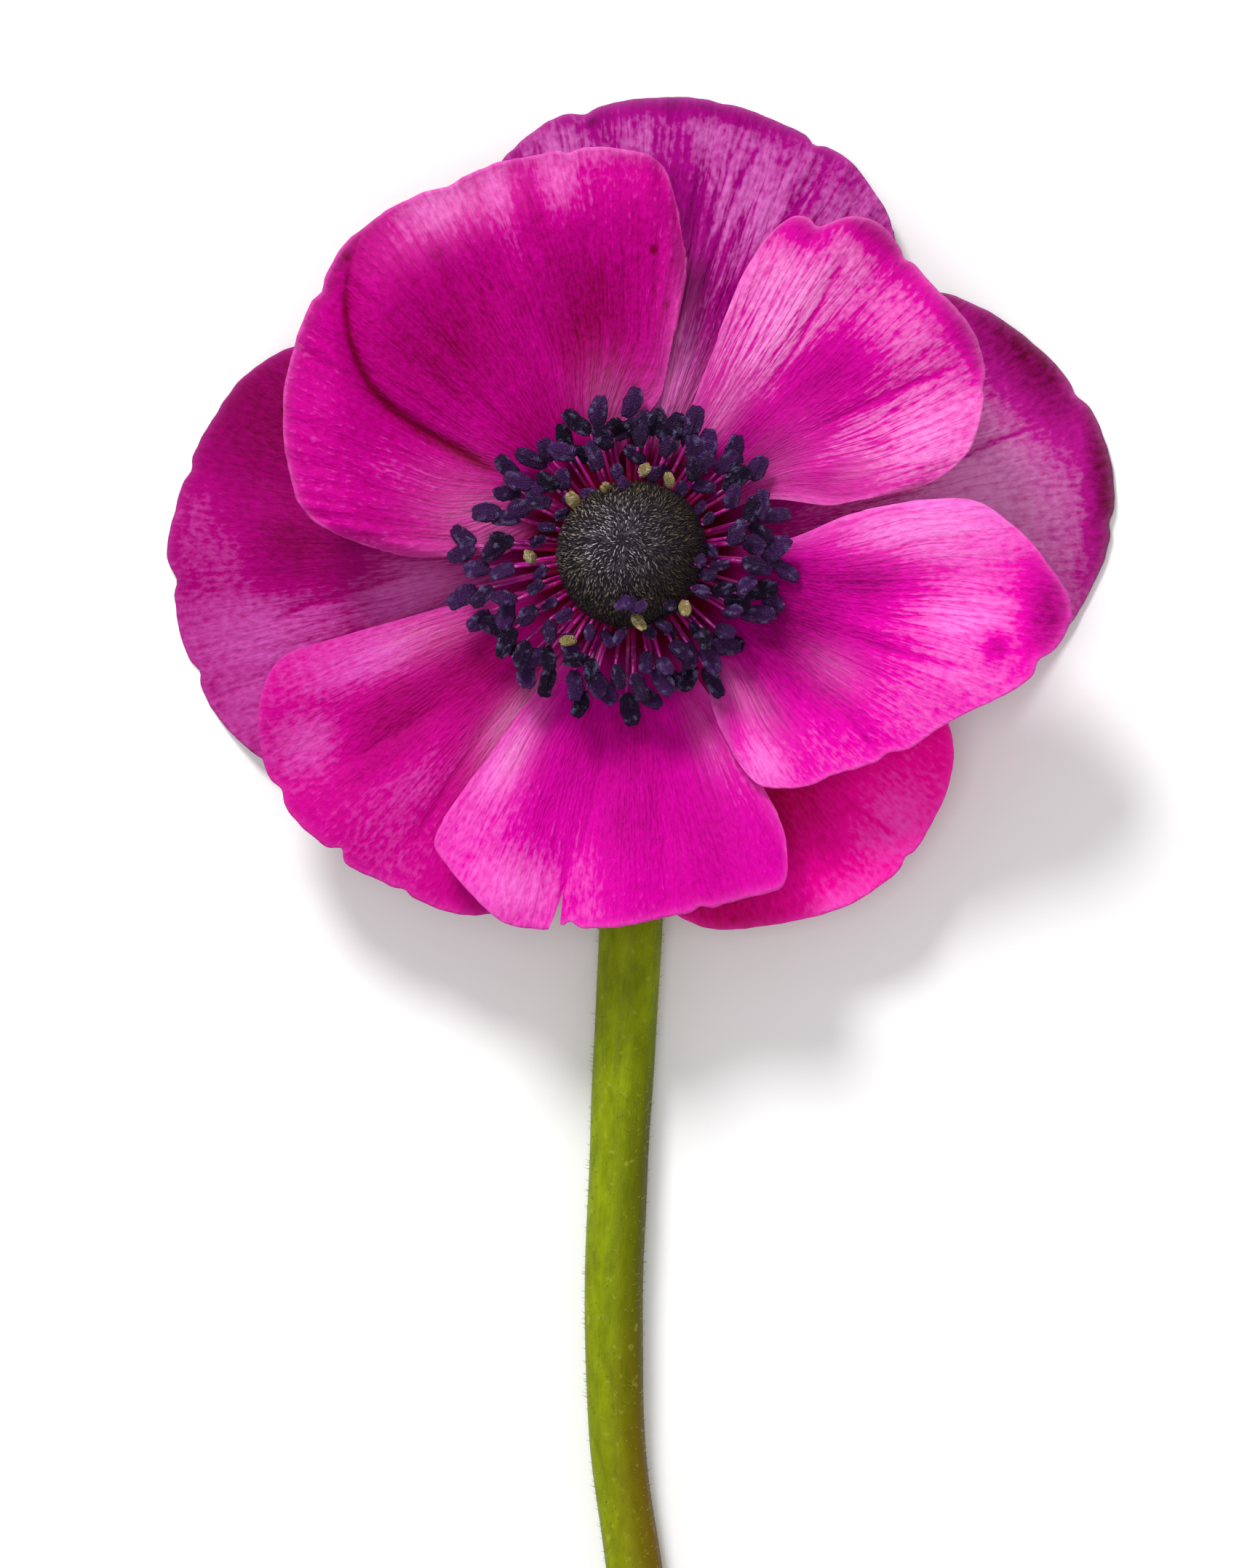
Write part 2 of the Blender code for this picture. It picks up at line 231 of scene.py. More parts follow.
def makeFibres():
    # fibres that run along V: branching veins, fine streaks, broad streaks and their height
    group, given, result = newGroup(
        "fibres",
        [("Vector", "NodeSocketVector", None), ("Across", "NodeSocketFloat", 30.0),
         ("Along", "NodeSocketFloat", 2.0), ("Wander", "NodeSocketFloat", 0.4)],
        [("Veins", "NodeSocketFloat"), ("Fine", "NodeSocketFloat"), ("Broad", "NodeSocketFloat"),
         ("Height", "NodeSocketFloat")])
    wander = addNode(group, "TexNoise", {"Vector": given["Vector"], "Scale": 1.3, "Detail": 2.0})
    centred = {0: wander.outputs["Color"], 1: (0.5, 0.5, 0.5)}
    shift = addNode(group, "VectorMath", centred, operation="SUBTRACT")
    bent = addNode(group, "VectorMath", {0: shift.outputs[0], "Scale": given["Wander"]}, operation="SCALE")
    moved = addNode(group, "VectorMath", {0: bent.outputs[0], 1: given["Vector"]}, operation="ADD")
    parts = addNode(group, "SeparateXYZ", {0: moved.outputs[0]})
    masks = []
    for share, detail, roughness in ((0.8, 1.0, 0.5), (1.6, 3.0, 0.6), (0.3, 4.0, 0.65)):
        across = times(group, times(group, parts.outputs[0], given["Across"]), share)
        along = times(group, parts.outputs[1], given["Along"])
        place = addNode(group, "CombineXYZ", {0: across, 1: along, 2: share * 7.0})
        masks.append(addNode(
            group, "TexNoise",
            {"Vector": place.outputs[0], "Scale": 1.0, "Detail": detail, "Roughness": roughness}).outputs[0])
    middle = maths(group, "ABSOLUTE", minus(group, masks[0], 0.5))
    line = mapRange(group, middle, 0.09, 0.01)
    group.links.new(line, result["Veins"])
    for label, mask, low, high in (("Fine", masks[1], 0.32, 0.68), ("Broad", masks[2], 0.33, 0.67)):
        group.links.new(mapRange(group, mask, low, high), result[label])
    height = plus(group, times(group, masks[2], 1.2), masks[1])
    height = minus(group, height, times(group, line, 0.35))
    group.links.new(height, result["Height"])
    return group


def makeFlecks():
    # small scattered flecks, and the fine grain of living cells
    group, given, result = newGroup(
        "flecks",
        [("Vector", "NodeSocketVector", None), ("Scale", "NodeSocketFloat", 900.0),
         ("Share", "NodeSocketFloat", 0.3)],
        [("Flecks", "NodeSocketFloat"), ("Mottle", "NodeSocketFloat"), ("Grain", "NodeSocketFloat")])
    spots = addNode(group, "TexNoise", {"Vector": given["Vector"], "Scale": given["Scale"], "Detail": 3.0})
    low = minus(group, 0.75, times(group, given["Share"], 0.45))
    finer = times(group, given["Scale"], 6.0)
    cells = addNode(group, "TexVoronoi", {"Vector": given["Vector"], "Scale": finer})
    above = mapRange(group, spots.outputs[0], low, plus(group, low, 0.1))
    group.links.new(above, result["Flecks"])
    group.links.new(mapRange(group, spots.outputs[0], 0.3, 0.7), result["Mottle"])
    group.links.new(cells.outputs["Distance"], result["Grain"])
    return group


fibres = makeFibres()
flecks = makeFlecks()


def useGroup(tree, group, inputs):
    return addNode(tree, "Group", inputs, node_tree=group).outputs


def fleckMasks(tree, scale, share):
    return useGroup(tree, flecks, {"Vector": objectPlace(tree), "Scale": scale, "Share": share})


def startMaterial(name, roughness, specular, sheen=0.0, sheenTint=(1, 1, 1, 1)):
    made = bpy.data.materials.new(name)
    made.use_nodes = True
    tree = made.node_tree
    shader = tree.nodes["Principled BSDF"]
    shader.inputs["Roughness"].default_value = roughness
    shader.inputs["Specular IOR Level"].default_value = specular
    shader.inputs["Sheen Weight"].default_value = sheen
    shader.inputs["Sheen Tint"].default_value = sheenTint
    shader.inputs["Sheen Roughness"].default_value = 0.4
    return made, tree, shader


def setColour(tree, shader, colour):
    tree.links.new(colour, shader.inputs["Base Color"])


def setBump(tree, shader, height, strength, distance):
    bump = addNode(tree, "Bump", {"Height": height, "Strength": strength, "Distance": distance})
    tree.links.new(bump.outputs[0], shader.inputs["Normal"])


# tepals

tepalDesign = {
    "thickness": 0.3,
    "columns": 190,
    "rows": 110,
    "claw": 5.2,  # mm from the axis, where a blade is seated
    "storeyStep": 0.82,
    "restOnSurface": 0.17,
    "rimWaves": ((0.3, 0.16, 0.0), (0.09, 0.6, 5.0)),  # mm high, waves a degree, and place in the noise
    "crimpWaves": ((1.0, 0.5, 0.09, 0.0), (0.5, 1.3, 0.22, 9.0)),  # share, waves a degree and a mm, and place
    "crumpleWaves": 0.14,  # waves a mm
    "wrinkled": (0.0, 0.625),  # shares of the reach between which the wrinkles and the fold deepen
    "edge": 0.4,  # mm of paler rim
    "foot": (8.5, 12.5),  # mm from the axis between which the painted shade at the foot, under the stamens, fades
    "creaseDepth": 0.35,
    # how dark the painted shade along each crease is
    "creaseShade": 0.45,
}
tepalDefaults = dict(
    base=(25, 25), fan=(0.0, 0.5), crimp=0.06, crumple=0.5, flare=0.0, swell=[], white=[],
    whiteTint=(236, 178, 222))
# each tepal's own shape, in mm and degrees round the head, seen from above:
# storey counts from the surface. direction: where it points. spread: half the angle at its rim, base: the
# same where it is seated, clockwise side first. fan: the shares of the length between which it widens.
# rim: reach at thirteen even stations, clockwise side first. lift, bow, cup: rise of the tip, the middle
# and the sides. wave: ruffle in mm, cycles and phase. crimp: fine lengthwise wrinkles. crumple: soft dents.
# flare: how far the outer rim rolls back. nicks: degrees, depth and half width in degrees. creases: degrees
# and mm from the axis where each starts, and where it ends. ridges and veins: how strongly they show.
# body, shade and light are its colours, and whiteTint that of its white patches. pale, deep, white and
# swell: patches of (degrees, mm from the axis, half width in degrees, half length in mm, amount), where a
# swell's amount is its rise
tepals = {
    "leftTepal": dict(
        node="tepal_left", storey=0, direction=177, spread=40,
        rim=(27.5, 30, 33, 37.6, 40.6, 42.4, 43.6, 43.4, 42.4, 41.0, 38.0, 33.4, 29),
        lift=-12.0, bow=3.0, cup=-0.6, wave=(0.7, 1.2, 0.6), crumple=0.6,
        nicks=[(183, 0.7, 1.6), (169, 0.5, 1.2), (195, 0.5, 1.0)],
        creases=[(186, 22, 190, 34), (171, 24, 168, 36)],
        body=(170, 0, 118), shade=(116, 0, 62), light=(216, 92, 190), ridges=0.9, veins=0.35,
        pale=[(192, 35, 8, 9, 0.85), (174, 41, 9, 2.5, 0.4), (201, 37, 8, 7, 0.65),
              (190, 21, 9, 7, 0.9), (181, 23, 6, 5, 0.3), (181, 38, 5, 3, 0.4)],
        deep=[(158, 33, 13, 16, 0.8), (178, 31, 8, 5, 0.75)],
        white=[(188, 17, 8, 5, 0.12)]),
    "rightTepal": dict(
        node="tepal_right", storey=0, direction=12, spread=33,
        rim=(27, 30.5, 35.5, 40.4, 43.4, 45.4, 46.0, 45.0, 42.6, 40.3, 38, 33.5, 28.5),
        lift=-12.0, bow=2.3, cup=-0.5, wave=(0.8, 1.1, 2.4),
        nicks=[(20, 0.4, 1.2), (4, 0.4, 1.0)],
        creases=[(16, 30, 18, 40)],
        body=(188, 20, 144), shade=(104, 0, 50), light=(232, 146, 210), ridges=0.6, veins=0.35,
        pale=[(10, 33, 18, 12, 1.0), (355, 36, 9, 7, 0.7)],
        deep=[(30, 43, 15, 4.5, 1.0), (8, 45.8, 17, 2.4, 1.0), (42, 38, 6, 6, 0.9)]),
    "lowerRightBackTepal": dict(
        node="tepal_lower_right_back", storey=0, direction=305, spread=33,
        rim=(27, 30.5, 33.8, 35.8, 36.9, 38.1, 38.7, 38.4, 37.2, 35.4, 32, 28, 25),
        lift=-3.0, bow=0.4, cup=0.6, wave=(0.6, 1.3, 1.0), crumple=0.4,
        nicks=[(312, 0.4, 1.0)],
        creases=[(311, 30, 313, 36)],
        body=(252, 0, 168), shade=(178, 0, 70), light=(255, 100, 220), ridges=0.8, veins=0.25,
        pale=[(314, 35, 8, 4.5, 0.55), (301, 38, 7, 2, 0.6)],
        # the deep patch at 301 degrees is a painted shadow of the lower right front tepal's edge
        deep=[(301, 27, 13, 5.5, 0.8), (285, 35, 9, 6, 0.65)]),
    "topTepal": dict(
        node="tepal_top", storey=1, direction=78, spread=38,
        rim=(26.5, 29.6, 34.6, 39.2, 42.0, 43.0, 43.6, 43.2, 42.2, 40.4, 37, 32, 27),
        lift=-12.7, bow=4.8, cup=0.3, wave=(0.8, 1.6, 0.0), crimp=0.9, crumple=0.7,
        nicks=[(96, 0.5, 1.4), (66, 0.5, 1.0)], swell=[(79, 18, 8, 8, 2.3)],
        creases=[(76, 24, 73, 40), (68, 26, 64, 38), (85, 30, 87, 41), (80, 20, 80, 30)],
        body=(164, 0, 128), shade=(98, 0, 72), light=(226, 126, 208), ridges=1.9, veins=0.7,
        pale=[(72, 36, 14, 8, 0.6), (58, 36, 7, 6, 0.6), (100, 38, 5, 5, 0.6), (88, 38, 5, 5, 0.55),
              (79, 40, 5, 4, 0.6), (77, 19, 6, 5, 0.7)],
        # the deep patch at 83 degrees, 30 mm out, is a painted shadow of the upper left tepal's edge
        deep=[(95.2, 40.9, 0.8, 0.5, 1.0), (83, 30, 5, 6.5, 0.85), (88, 43, 22, 1.4, 0.5),
              (60, 26, 6, 8, 0.3)],
        white=[(76, 13.5, 10, 5, 1.0), (78, 21, 3, 6, 0.3)], whiteTint=(255, 132, 216)),
    "lowerLeftTepal": dict(
        node="tepal_lower_left", storey=1, direction=226, spread=30,
        rim=(32, 34.5, 36.6, 38.3, 39.7, 40, 39.6, 38.4, 37.8, 36.7, 34.5, 31, 28),
        lift=-0.6, bow=0.5, cup=0.4, wave=(0.5, 1.4, 2.0),
        nicks=[(225.5, 1.0, 1.0), (214, 0.5, 1.4), (236, 0.4, 1.0)],
        creases=[(230, 20, 233, 34), (219, 22, 216, 34)],
        body=(206, 0, 144), shade=(152, 0, 88), light=(236, 96, 204), ridges=0.9, veins=0.35,
        pale=[(202, 24, 6, 9, 0.95), (226, 29, 5, 8, 0.35), (236, 35, 8, 5, 0.35), (211, 34.5, 5, 4, 1.0),
              (241, 37.5, 5, 3, 0.5)],
        deep=[(215, 26, 7, 8, 0.7), (243, 30, 8, 10, 0.5), (216, 18, 14, 6, 0.8)],
        white=[(202, 20, 5, 5, 0.3), (235, 18.5, 5, 5, 0.5), (240, 22, 4, 5, 0.5)]),
    "bottomTepal": dict(
        node="tepal_bottom", storey=2, direction=267, spread=32,
        rim=(30.5, 32.9, 33.8, 35.0, 36.3, 35.7, 34.9, 34.2, 34.0, 34.0, 33.9, 30.8, 28),
        lift=5.0, bow=-1.4, cup=1.0, wave=(0.7, 1.5, 1.2), flare=0.4,
        nicks=[(258.5, 3.8, 0.42), (260.5, 0.8, 1.2), (281, 0.4, 1.0)],
        creases=[(277, 17, 279, 28), (262, 18, 260, 29), (258.5, 28, 258.5, 32)],
        body=(222, 0, 168), shade=(170, 0, 112), light=(255, 120, 222), ridges=0.9, veins=0.55,
        pale=[(239, 23, 5, 6, 1.0), (240, 28, 6, 6, 0.55), (250, 33, 8, 3.5, 0.9),
              (261, 30, 4, 4, 0.4), (263, 33.5, 3, 2, 0.3), (292, 21, 6, 5, 0.3)],
        # the deep patch at 268 degrees, 17 mm out, is painted shadow of the anthers over the foot
        deep=[(268, 17, 24, 6.5, 0.58), (285, 27, 8, 9, 0.4), (270, 24, 9, 6, 0.38)],
        white=[(240, 21, 4, 4, 0.4), (306, 20, 7, 4, 0.2), (292, 18, 4, 4, 0.15)]),
    "lowerRightFrontTepal": dict(
        node="tepal_lower_right_front", storey=3, direction=333.5, base=(29, 30), fan=(0.3, 0.75),
        spread=36.5,
        rim=(21.5, 24.3, 25.8, 27.3, 28.7, 31.3, 34.2, 38.9, 41.1, 38.0, 34.7, 31.8, 27),
        lift=6.4, bow=-0.9, cup=1.4, wave=(0.6, 1.3, 0.4), flare=0.4,
        nicks=[(345, 0.6, 1.2), (322, 0.5, 1.6)],
        creases=[(338, 18, 341, 33), (326, 18, 321, 29)],
        body=(234, 0, 176), shade=(146, 0, 100), light=(255, 132, 228), ridges=0.8, veins=0.6,
        pale=[(365, 27, 9, 11, 1.0), (349, 31, 7, 9, 1.0), (341, 32, 5, 6, 0.75), (302, 22.5, 6, 4, 1.0),
              (317, 25, 8, 6, 0.28), (332, 29, 8, 7, 0.4)],
        deep=[(352, 21, 9, 6, 0.7), (345.6, 35, 2.6, 1.5, 0.6), (351.5, 39.3, 7, 2.8, 0.85),
              # the deep patch at 336 degrees, 16 mm out, is partly the tepal's deeper colour and partly
              # painted shade of the stamens
              (336, 16, 28, 6, 0.88), (324, 21, 8, 5, 0.4), (299, 17, 4, 4, 0.7)],
        white=[(364, 28, 6, 7, 0.2), (308, 18, 5, 4, 0.3), (330, 22, 5, 3, 0.15)]),
    "upperLeftTepal": dict(
        node="tepal_upper_left", storey=3, direction=130, spread=51,
        rim=(26, 29.5, 36, 37.5, 37.8, 38.3, 38.9, 37.4, 35.4, 32.8, 29.8, 23.5, 19.5),
        lift=8.0, bow=-2.2, cup=2.4, wave=(0.5, 1.0, 0.8), crimp=0.2, flare=2.4,
        nicks=[(140, 0.5, 1.2), (117, 0.4, 2.0), (99, 0.4, 1.2)],
        creases=[(103, 20, 98, 30), (111, 18, 108, 27), (126, 22, 122, 34)],
        body=(206, 0, 148), shade=(132, 0, 54), light=(242, 124, 212), ridges=1.0, veins=0.6,
        pale=[(119, 37, 7, 2.8, 0.85), (110, 35.6, 3.4, 4.6, 0.85), (101, 35.4, 4, 3.4, 0.7),
              (98, 37.6, 9, 1.8, 0.6), (150, 37, 6, 1.6, 0.25)],
        deep=[(131, 26, 17, 8, 0.52), (100, 21.5, 14, 8, 0.6), (90, 24, 5, 6, 0.3),
              (85.8, 28.2, 0.8, 0.5, 1.2), (82, 23.3, 0.6, 0.4, 1.0), (134, 38.1, 1, 0.6, 1.0),
              (125, 15, 26, 5, 0.4), (107, 32.5, 3, 4, 0.4)],
        white=[(168, 14, 14, 5, 0.28), (98, 14, 10, 3.5, 0.18), (118, 36.0, 9, 2.4, 0.2)]),
    "upperRightTepal": dict(
        node="tepal_upper_right", storey=3, direction=40.5, base=(17, 27), fan=(0.26, 0.66), spread=27.5,
        rim=(27.5, 30, 32.8, 34.8, 37, 37.6, 37.4, 37.8, 37.8, 35.6, 34.6, 31, 27),
        lift=5.0, bow=-1.4, cup=1.6, wave=(0.6, 1.4, 2.6), crimp=0.08, crumple=0.4, flare=0.8,
        nicks=[(60, 0.7, 1.4), (47, 0.4, 1.2), (25, 0.4, 1.2)],
        creases=[(50, 20, 54, 33), (34, 20, 30, 34)],
        body=(218, 4, 162), shade=(168, 0, 118), light=(255, 152, 228), ridges=0.8, veins=0.8,
        pale=[(58, 27, 12, 13, 1.0), (22, 27, 10, 12, 0.85), (42, 32, 20, 4.2, 0.5), (30, 19, 12, 4, 0.4)],
        deep=[(43, 23.5, 6, 6, 0.5), (52, 37.5, 9, 1.8, 0.8), (32, 37.5, 11, 1.5, 0.75), (66, 34, 3, 3, 0.4),
              # the deep patch at 36 degrees, 15.5 mm out, is partly the tepal's deeper colour and partly
              # painted shade of the stamens
              (36, 15.5, 20, 4, 0.72), (20, 20, 6, 5, 0.5), (62, 34.5, 5, 3, 0.6)],
        white=[(58, 15, 6, 5, 0.3), (28, 15, 12, 5, 0.12), (20, 22.5, 4, 3, 0.25)]),
}
fold = {  # the upper left tepal's lengthwise fold, and the flap beyond it, in mm and degrees
    "tepal": "upperLeftTepal",
    "line": (149, 149.3, 149.4, 148.3, 143.9, 136.3, 124.5),  # degrees at even stations from the start
    "start": 14.0,
    "step": 4.5,
    "halfWidth": 1.3,
    "depth": 1.5,
    "rise": 3.0,
    "flap": 22.0,  # width over which the flap rises
}


def foldDegrees(radius):
    # the direction of the fold at this distance from the axis
    line = fold["line"]
    return curveThrough(line, min(max((radius - fold["start"]) / fold["step"], 0.0), len(line) - 1.0))


def patchAmount(patches, degrees, radius):
    amount = 0.0
    for at, out, halfWidth, halfLength, strength in patches:
        x, y = turnBetween(degrees, at) / halfWidth, (radius - out) / halfLength
        amount = max(amount, strength * math.exp(-x * x - y * y))
    return amount


def rimUnevenness(shape, turn, seed):
    # the uneven edge and its nicks, turn in degrees from the middle of the blade
    rise = sum(height * noise.noise(Vector((turn * waves, seed, layer)))
               for height, waves, layer in tepalDesign["rimWaves"])
    for at, depth, halfWidth in shape["nicks"]:
        rise -= depth * math.exp(-(turnBetween(shape["direction"] + turn, at) / halfWidth) ** 2)
    return rise


def foldShape(degrees, radius, reach):
    # how far the fold and its flap raise the blade, the painted shadow line along it, and the painted shade
    # beside it
    gap = math.radians(degrees - foldDegrees(radius)) * radius
    begins = ease(radius, fold["start"] - 1, fold["start"] + 4)
    dip = fold["depth"] * math.exp(-math.hypot(gap, 0.15) / fold["halfWidth"])
    rise = fold["rise"] * max(gap, 0.0) / fold["flap"] - dip
    rise *= ease(reach, *tepalDesign["wrinkled"]) * (1 - 0.75 * ease(radius, 30, 38))
    # painted shadow: a thin dark line along the fold, and painted shade beside it
    line = math.exp(-(gap / 0.4) ** 2) * begins * (0.9 - 0.6 * ease(radius, 28, 33))
    deep = math.exp(-(gap / 0.7) ** 2) * begins * ease(radius, 40, 34)
    return rise, line, max(deep, 0.35 * math.exp(-abs(gap + 1.0) / 3.0) * ease(radius, 20, 28))


def creaseShape(creases, degrees, radius):
    # how far the creases sink the blade, and the painted shade along them
    dip = deep = 0.0
    for at, near, to, far in creases:
        share = (radius - near) / (far - near)
        gap = math.radians(turnBetween(degrees, at + (to - at) * share)) * radius
        fade = ease(radius, near - 2, near + 2) * ease(radius, far + 2, far - 2)
        dip += tepalDesign["creaseDepth"] * fade * math.exp(-math.hypot(gap, 0.1) / 0.7)
        deep = max(deep, tepalDesign["creaseShade"] * fade * math.exp(-(gap / 0.3) ** 2))
    return dip, deep


def tepalPoint(name, shape, across, along, seed):
    # a point of the blade, its tone, white and edge masks, its painted shade at the foot and along the fold,
    # and its place in the vein pattern
    side = math.sin(across * math.pi / 2)
    turn = side * shape["spread"]
    claw = tepalDesign["claw"]
    rim = curveThrough(shape["rim"], (across + 1) * 6)
    rim += rimUnevenness(shape, turn, seed) * ease(along, 0.8, 1.0)
    radius = claw + (rim - claw) * along
    reach = (radius - claw) / (max(shape["rim"]) - claw)
    halfAngle = shape["base"][0] if side < 0 else shape["base"][1]
    halfAngle += (shape["spread"] - halfAngle) * ease(along, *shape["fan"])
    degrees = shape["direction"] + side * halfAngle
    angle = math.radians(degrees)
    x, y = radius * math.cos(angle), radius * math.sin(angle)

    wave, cycles, phase = shape["wave"]
    z = seatZ + tepalDesign["storeyStep"] * shape["storey"]
    z += shape["lift"] * reach + shape["bow"] * 4 * reach * (1 - reach) + shape["cup"] * side * side * reach
    z += wave * reach * reach * math.sin(math.tau * cycles * side + phase)
    z += patchAmount(shape["swell"], degrees, radius)
    foldRise, foldShadowLine, foldShade = (
        foldShape(degrees, radius, reach) if name == fold["tepal"] else (0.0, 0.0, 0.0))
    creaseDip, creaseShade = creaseShape(shape["creases"], degrees, radius)
    z += foldRise - creaseDip
    waves = tepalDesign["crumpleWaves"]
    z += shape["crumple"] * reach * noise.noise(Vector((x * waves, y * waves, seed)))
    outer = ease(along, 0.7, 1.0) * min(shape["flare"], 1.5)
    crimp = shape["crimp"] * (1 + 1.2 * outer) * ease(reach, *tepalDesign["wrinkled"])
    for share, around, outward, layer in tepalDesign["crimpWaves"]:
        z += share * crimp * noise.noise(Vector((turn * around, radius * outward, seed + layer)))
    z -= shape["flare"] * ease(along, 0.72, 1.0) ** 2
    rest = tepalDesign["restOnSurface"]
    z = (z + rest + math.sqrt((z - rest) ** 2 + 0.01)) / 2  # a blade that would dip lower lies on the surface

    edge = math.exp(-(1 - along) * rim / tepalDesign["edge"])
    edge += math.exp(-(1 - abs(side)) * radius * 0.5 / tepalDesign["edge"])
    pale = patchAmount(shape["pale"], degrees, radius)
    # the deep patches, some of them painted shade, and the painted shade along the creases and the fold
    deep = max(patchAmount(shape["deep"], degrees, radius), creaseShade, foldShade)
    # painted shade: the foot of the blade darkened where it lies under the stamens
    foot = 1.0 - ease(radius, *tepalDesign["foot"])
    white = patchAmount(shape["white"], degrees, radius) * (1 - foot)
    tone = (0.5 + 0.5 * pale) * (1 - min(deep, 1.0))
    uv = (math.radians(turn) * 2.5, radius * 0.1)
    return Vector((x, y, z)), (tone, white, min(edge, 1.0), 1.0), max(foot, foldShadowLine), uv


petalFinish = {
    "roughness": 0.46,
    "specular": 0.035,
    "fibres": {"Across": 26.0, "Along": 1.1, "Wander": 0.05},
    "flecks": {"Scale": 12.0, "Share": 0.35},
    "fleckStretch": (2.6, 1.0, 1.0),
    "broadStreaks": 0.17,
    "fineStreaks": 0.13,
    "mottle": 0.24,
    "lines": 0.5,
    "outerFade": 0.65,  # how much of the streaks is lost at the rim
    "shadeToBody": (0.0, 0.5),  # the tones between which one colour turns into the next
    "bodyToLight": (0.53, 1.02),
    "edge": 0.3,
    # the colour of the painted shade at the foot and along the fold
    "paintedShadeColour": (112, 0, 44),
    "bump": (0.8, 0.00011),  # strength, and height in metres
    "glow": 0.24,  # the share of light that comes through the blade
}


def petalTone(tree, shape, painted, inner, fine, veins, spots):
    # the painted tone with its streaks and its mottling, less its veins
    finish = petalFinish
    broad = minus(tree, veins["Broad"], 0.5)
    mottle = minus(tree, spots["Mottle"], 0.5)
    streaks = plus(
        tree, times(tree, broad, finish["broadStreaks"] * shape["ridges"]),
        times(tree, fine, finish["fineStreaks"] * shape["ridges"]))
    streaks = times(tree, streaks, inner)
    streaks = plus(tree, streaks, times(tree, mottle, finish["mottle"]))
    lined = times(tree, times(tree, veins["Veins"], shape["veins"]), painted)
    lined = times(tree, times(tree, lined, inner), finish["lines"])
    return minus(tree, plus(tree, painted, streaks), lined)


def petalMaterial(name, shape):
    finish = petalFinish
    made, tree, shader = startMaterial(name, finish["roughness"], finish["specular"])
    toneMask, whiteMask, edgeMask = paintMasks(tree)
    uv = uvPlace(tree)
    veins = useGroup(tree, fibres, {"Vector": uv, **finish["fibres"]})
    stretch = addNode(tree, "VectorMath", {0: uv, 1: finish["fleckStretch"]}, operation="MULTIPLY")
    spots = useGroup(tree, flecks, {"Vector": stretch.outputs[0], **finish["flecks"]})
    faded = times(tree, vertexMask(tree, "outer"), finish["outerFade"])
    inner = minus(tree, 1.0, faded)
    fine = minus(tree, veins["Fine"], 0.5)
    tone = petalTone(tree, shape, toneMask, inner, fine, veins, spots)
    low = mapRange(tree, tone, *finish["shadeToBody"])
    high = mapRange(tree, tone, *finish["bodyToLight"])
    colour = twoColours(tree, low, (shape["shade"], shape["body"]))
    colour = tinted(tree, colour, high, shape["light"])
    streaky = times(tree, plus(tree, fine, 0.7), whiteMask, clamp=True)
    colour = tinted(tree, colour, streaky, shape["whiteTint"])
    colour = tinted(tree, colour, edgeMask, shape["light"], finish["edge"])
    # painted shade at the foot and along the fold
    colour = tinted(tree, colour, vertexMask(tree, "foot"), finish["paintedShadeColour"])
    setColour(tree, shader, colour)
    height = plus(tree, times(tree, veins["Height"], inner), spots["Mottle"])
    setBump(tree, shader, height, *finish["bump"])
    glow = addNode(tree, "BsdfTranslucent", {"Color": colour})
    both = addNode(tree, "MixShader", {0: finish["glow"], 1: shader.outputs[0], 2: glow.outputs[0]})
    tree.links.new(both.outputs[0], tree.nodes["Material Output"].inputs[0])
    return made


def makeTepal(name, shape, seed):
    bm = bmesh.new()
    bmesh.ops.create_grid(bm, x_segments=tepalDesign["columns"], y_segments=tepalDesign["rows"], size=1.0)
    paint = bm.verts.layers.float_color.new("paint")
    # painted shade at the foot and along the fold
    paintedShadeLayer = bm.verts.layers.float.new("foot")
    outerLayer = bm.verts.layers.float.new("outer")
    uvLayer = bm.loops.layers.uv.new("UVMap")
    uvs = {}
    for vert in bm.verts:
        along = (vert.co.y + 1) / 2
        vert[outerLayer] = ease(along, 0.55, 1.0)
        vert.co, vert[paint], vert[paintedShadeLayer], uvs[vert] = tepalPoint(name, shape, -vert.co.x, along, seed)
    for face in bm.faces:
        for loop in face.loops:
            loop[uvLayer].uv = uvs[loop.vert]
    piece = finishPiece(name, bm, [petalMaterial(name, shape)], [shape["node"]])
    wall = piece.modifiers.new("thickness", "SOLIDIFY")
    wall.thickness = tepalDesign["thickness"] * mm
    wall.offset = 0.0


for seed, (name, shape) in enumerate(tepals.items()):
    makeTepal(name, {**tepalDefaults, **shape}, seed * 3.7)
print("tepals made:", len(tepals))


# stem with its receptacle

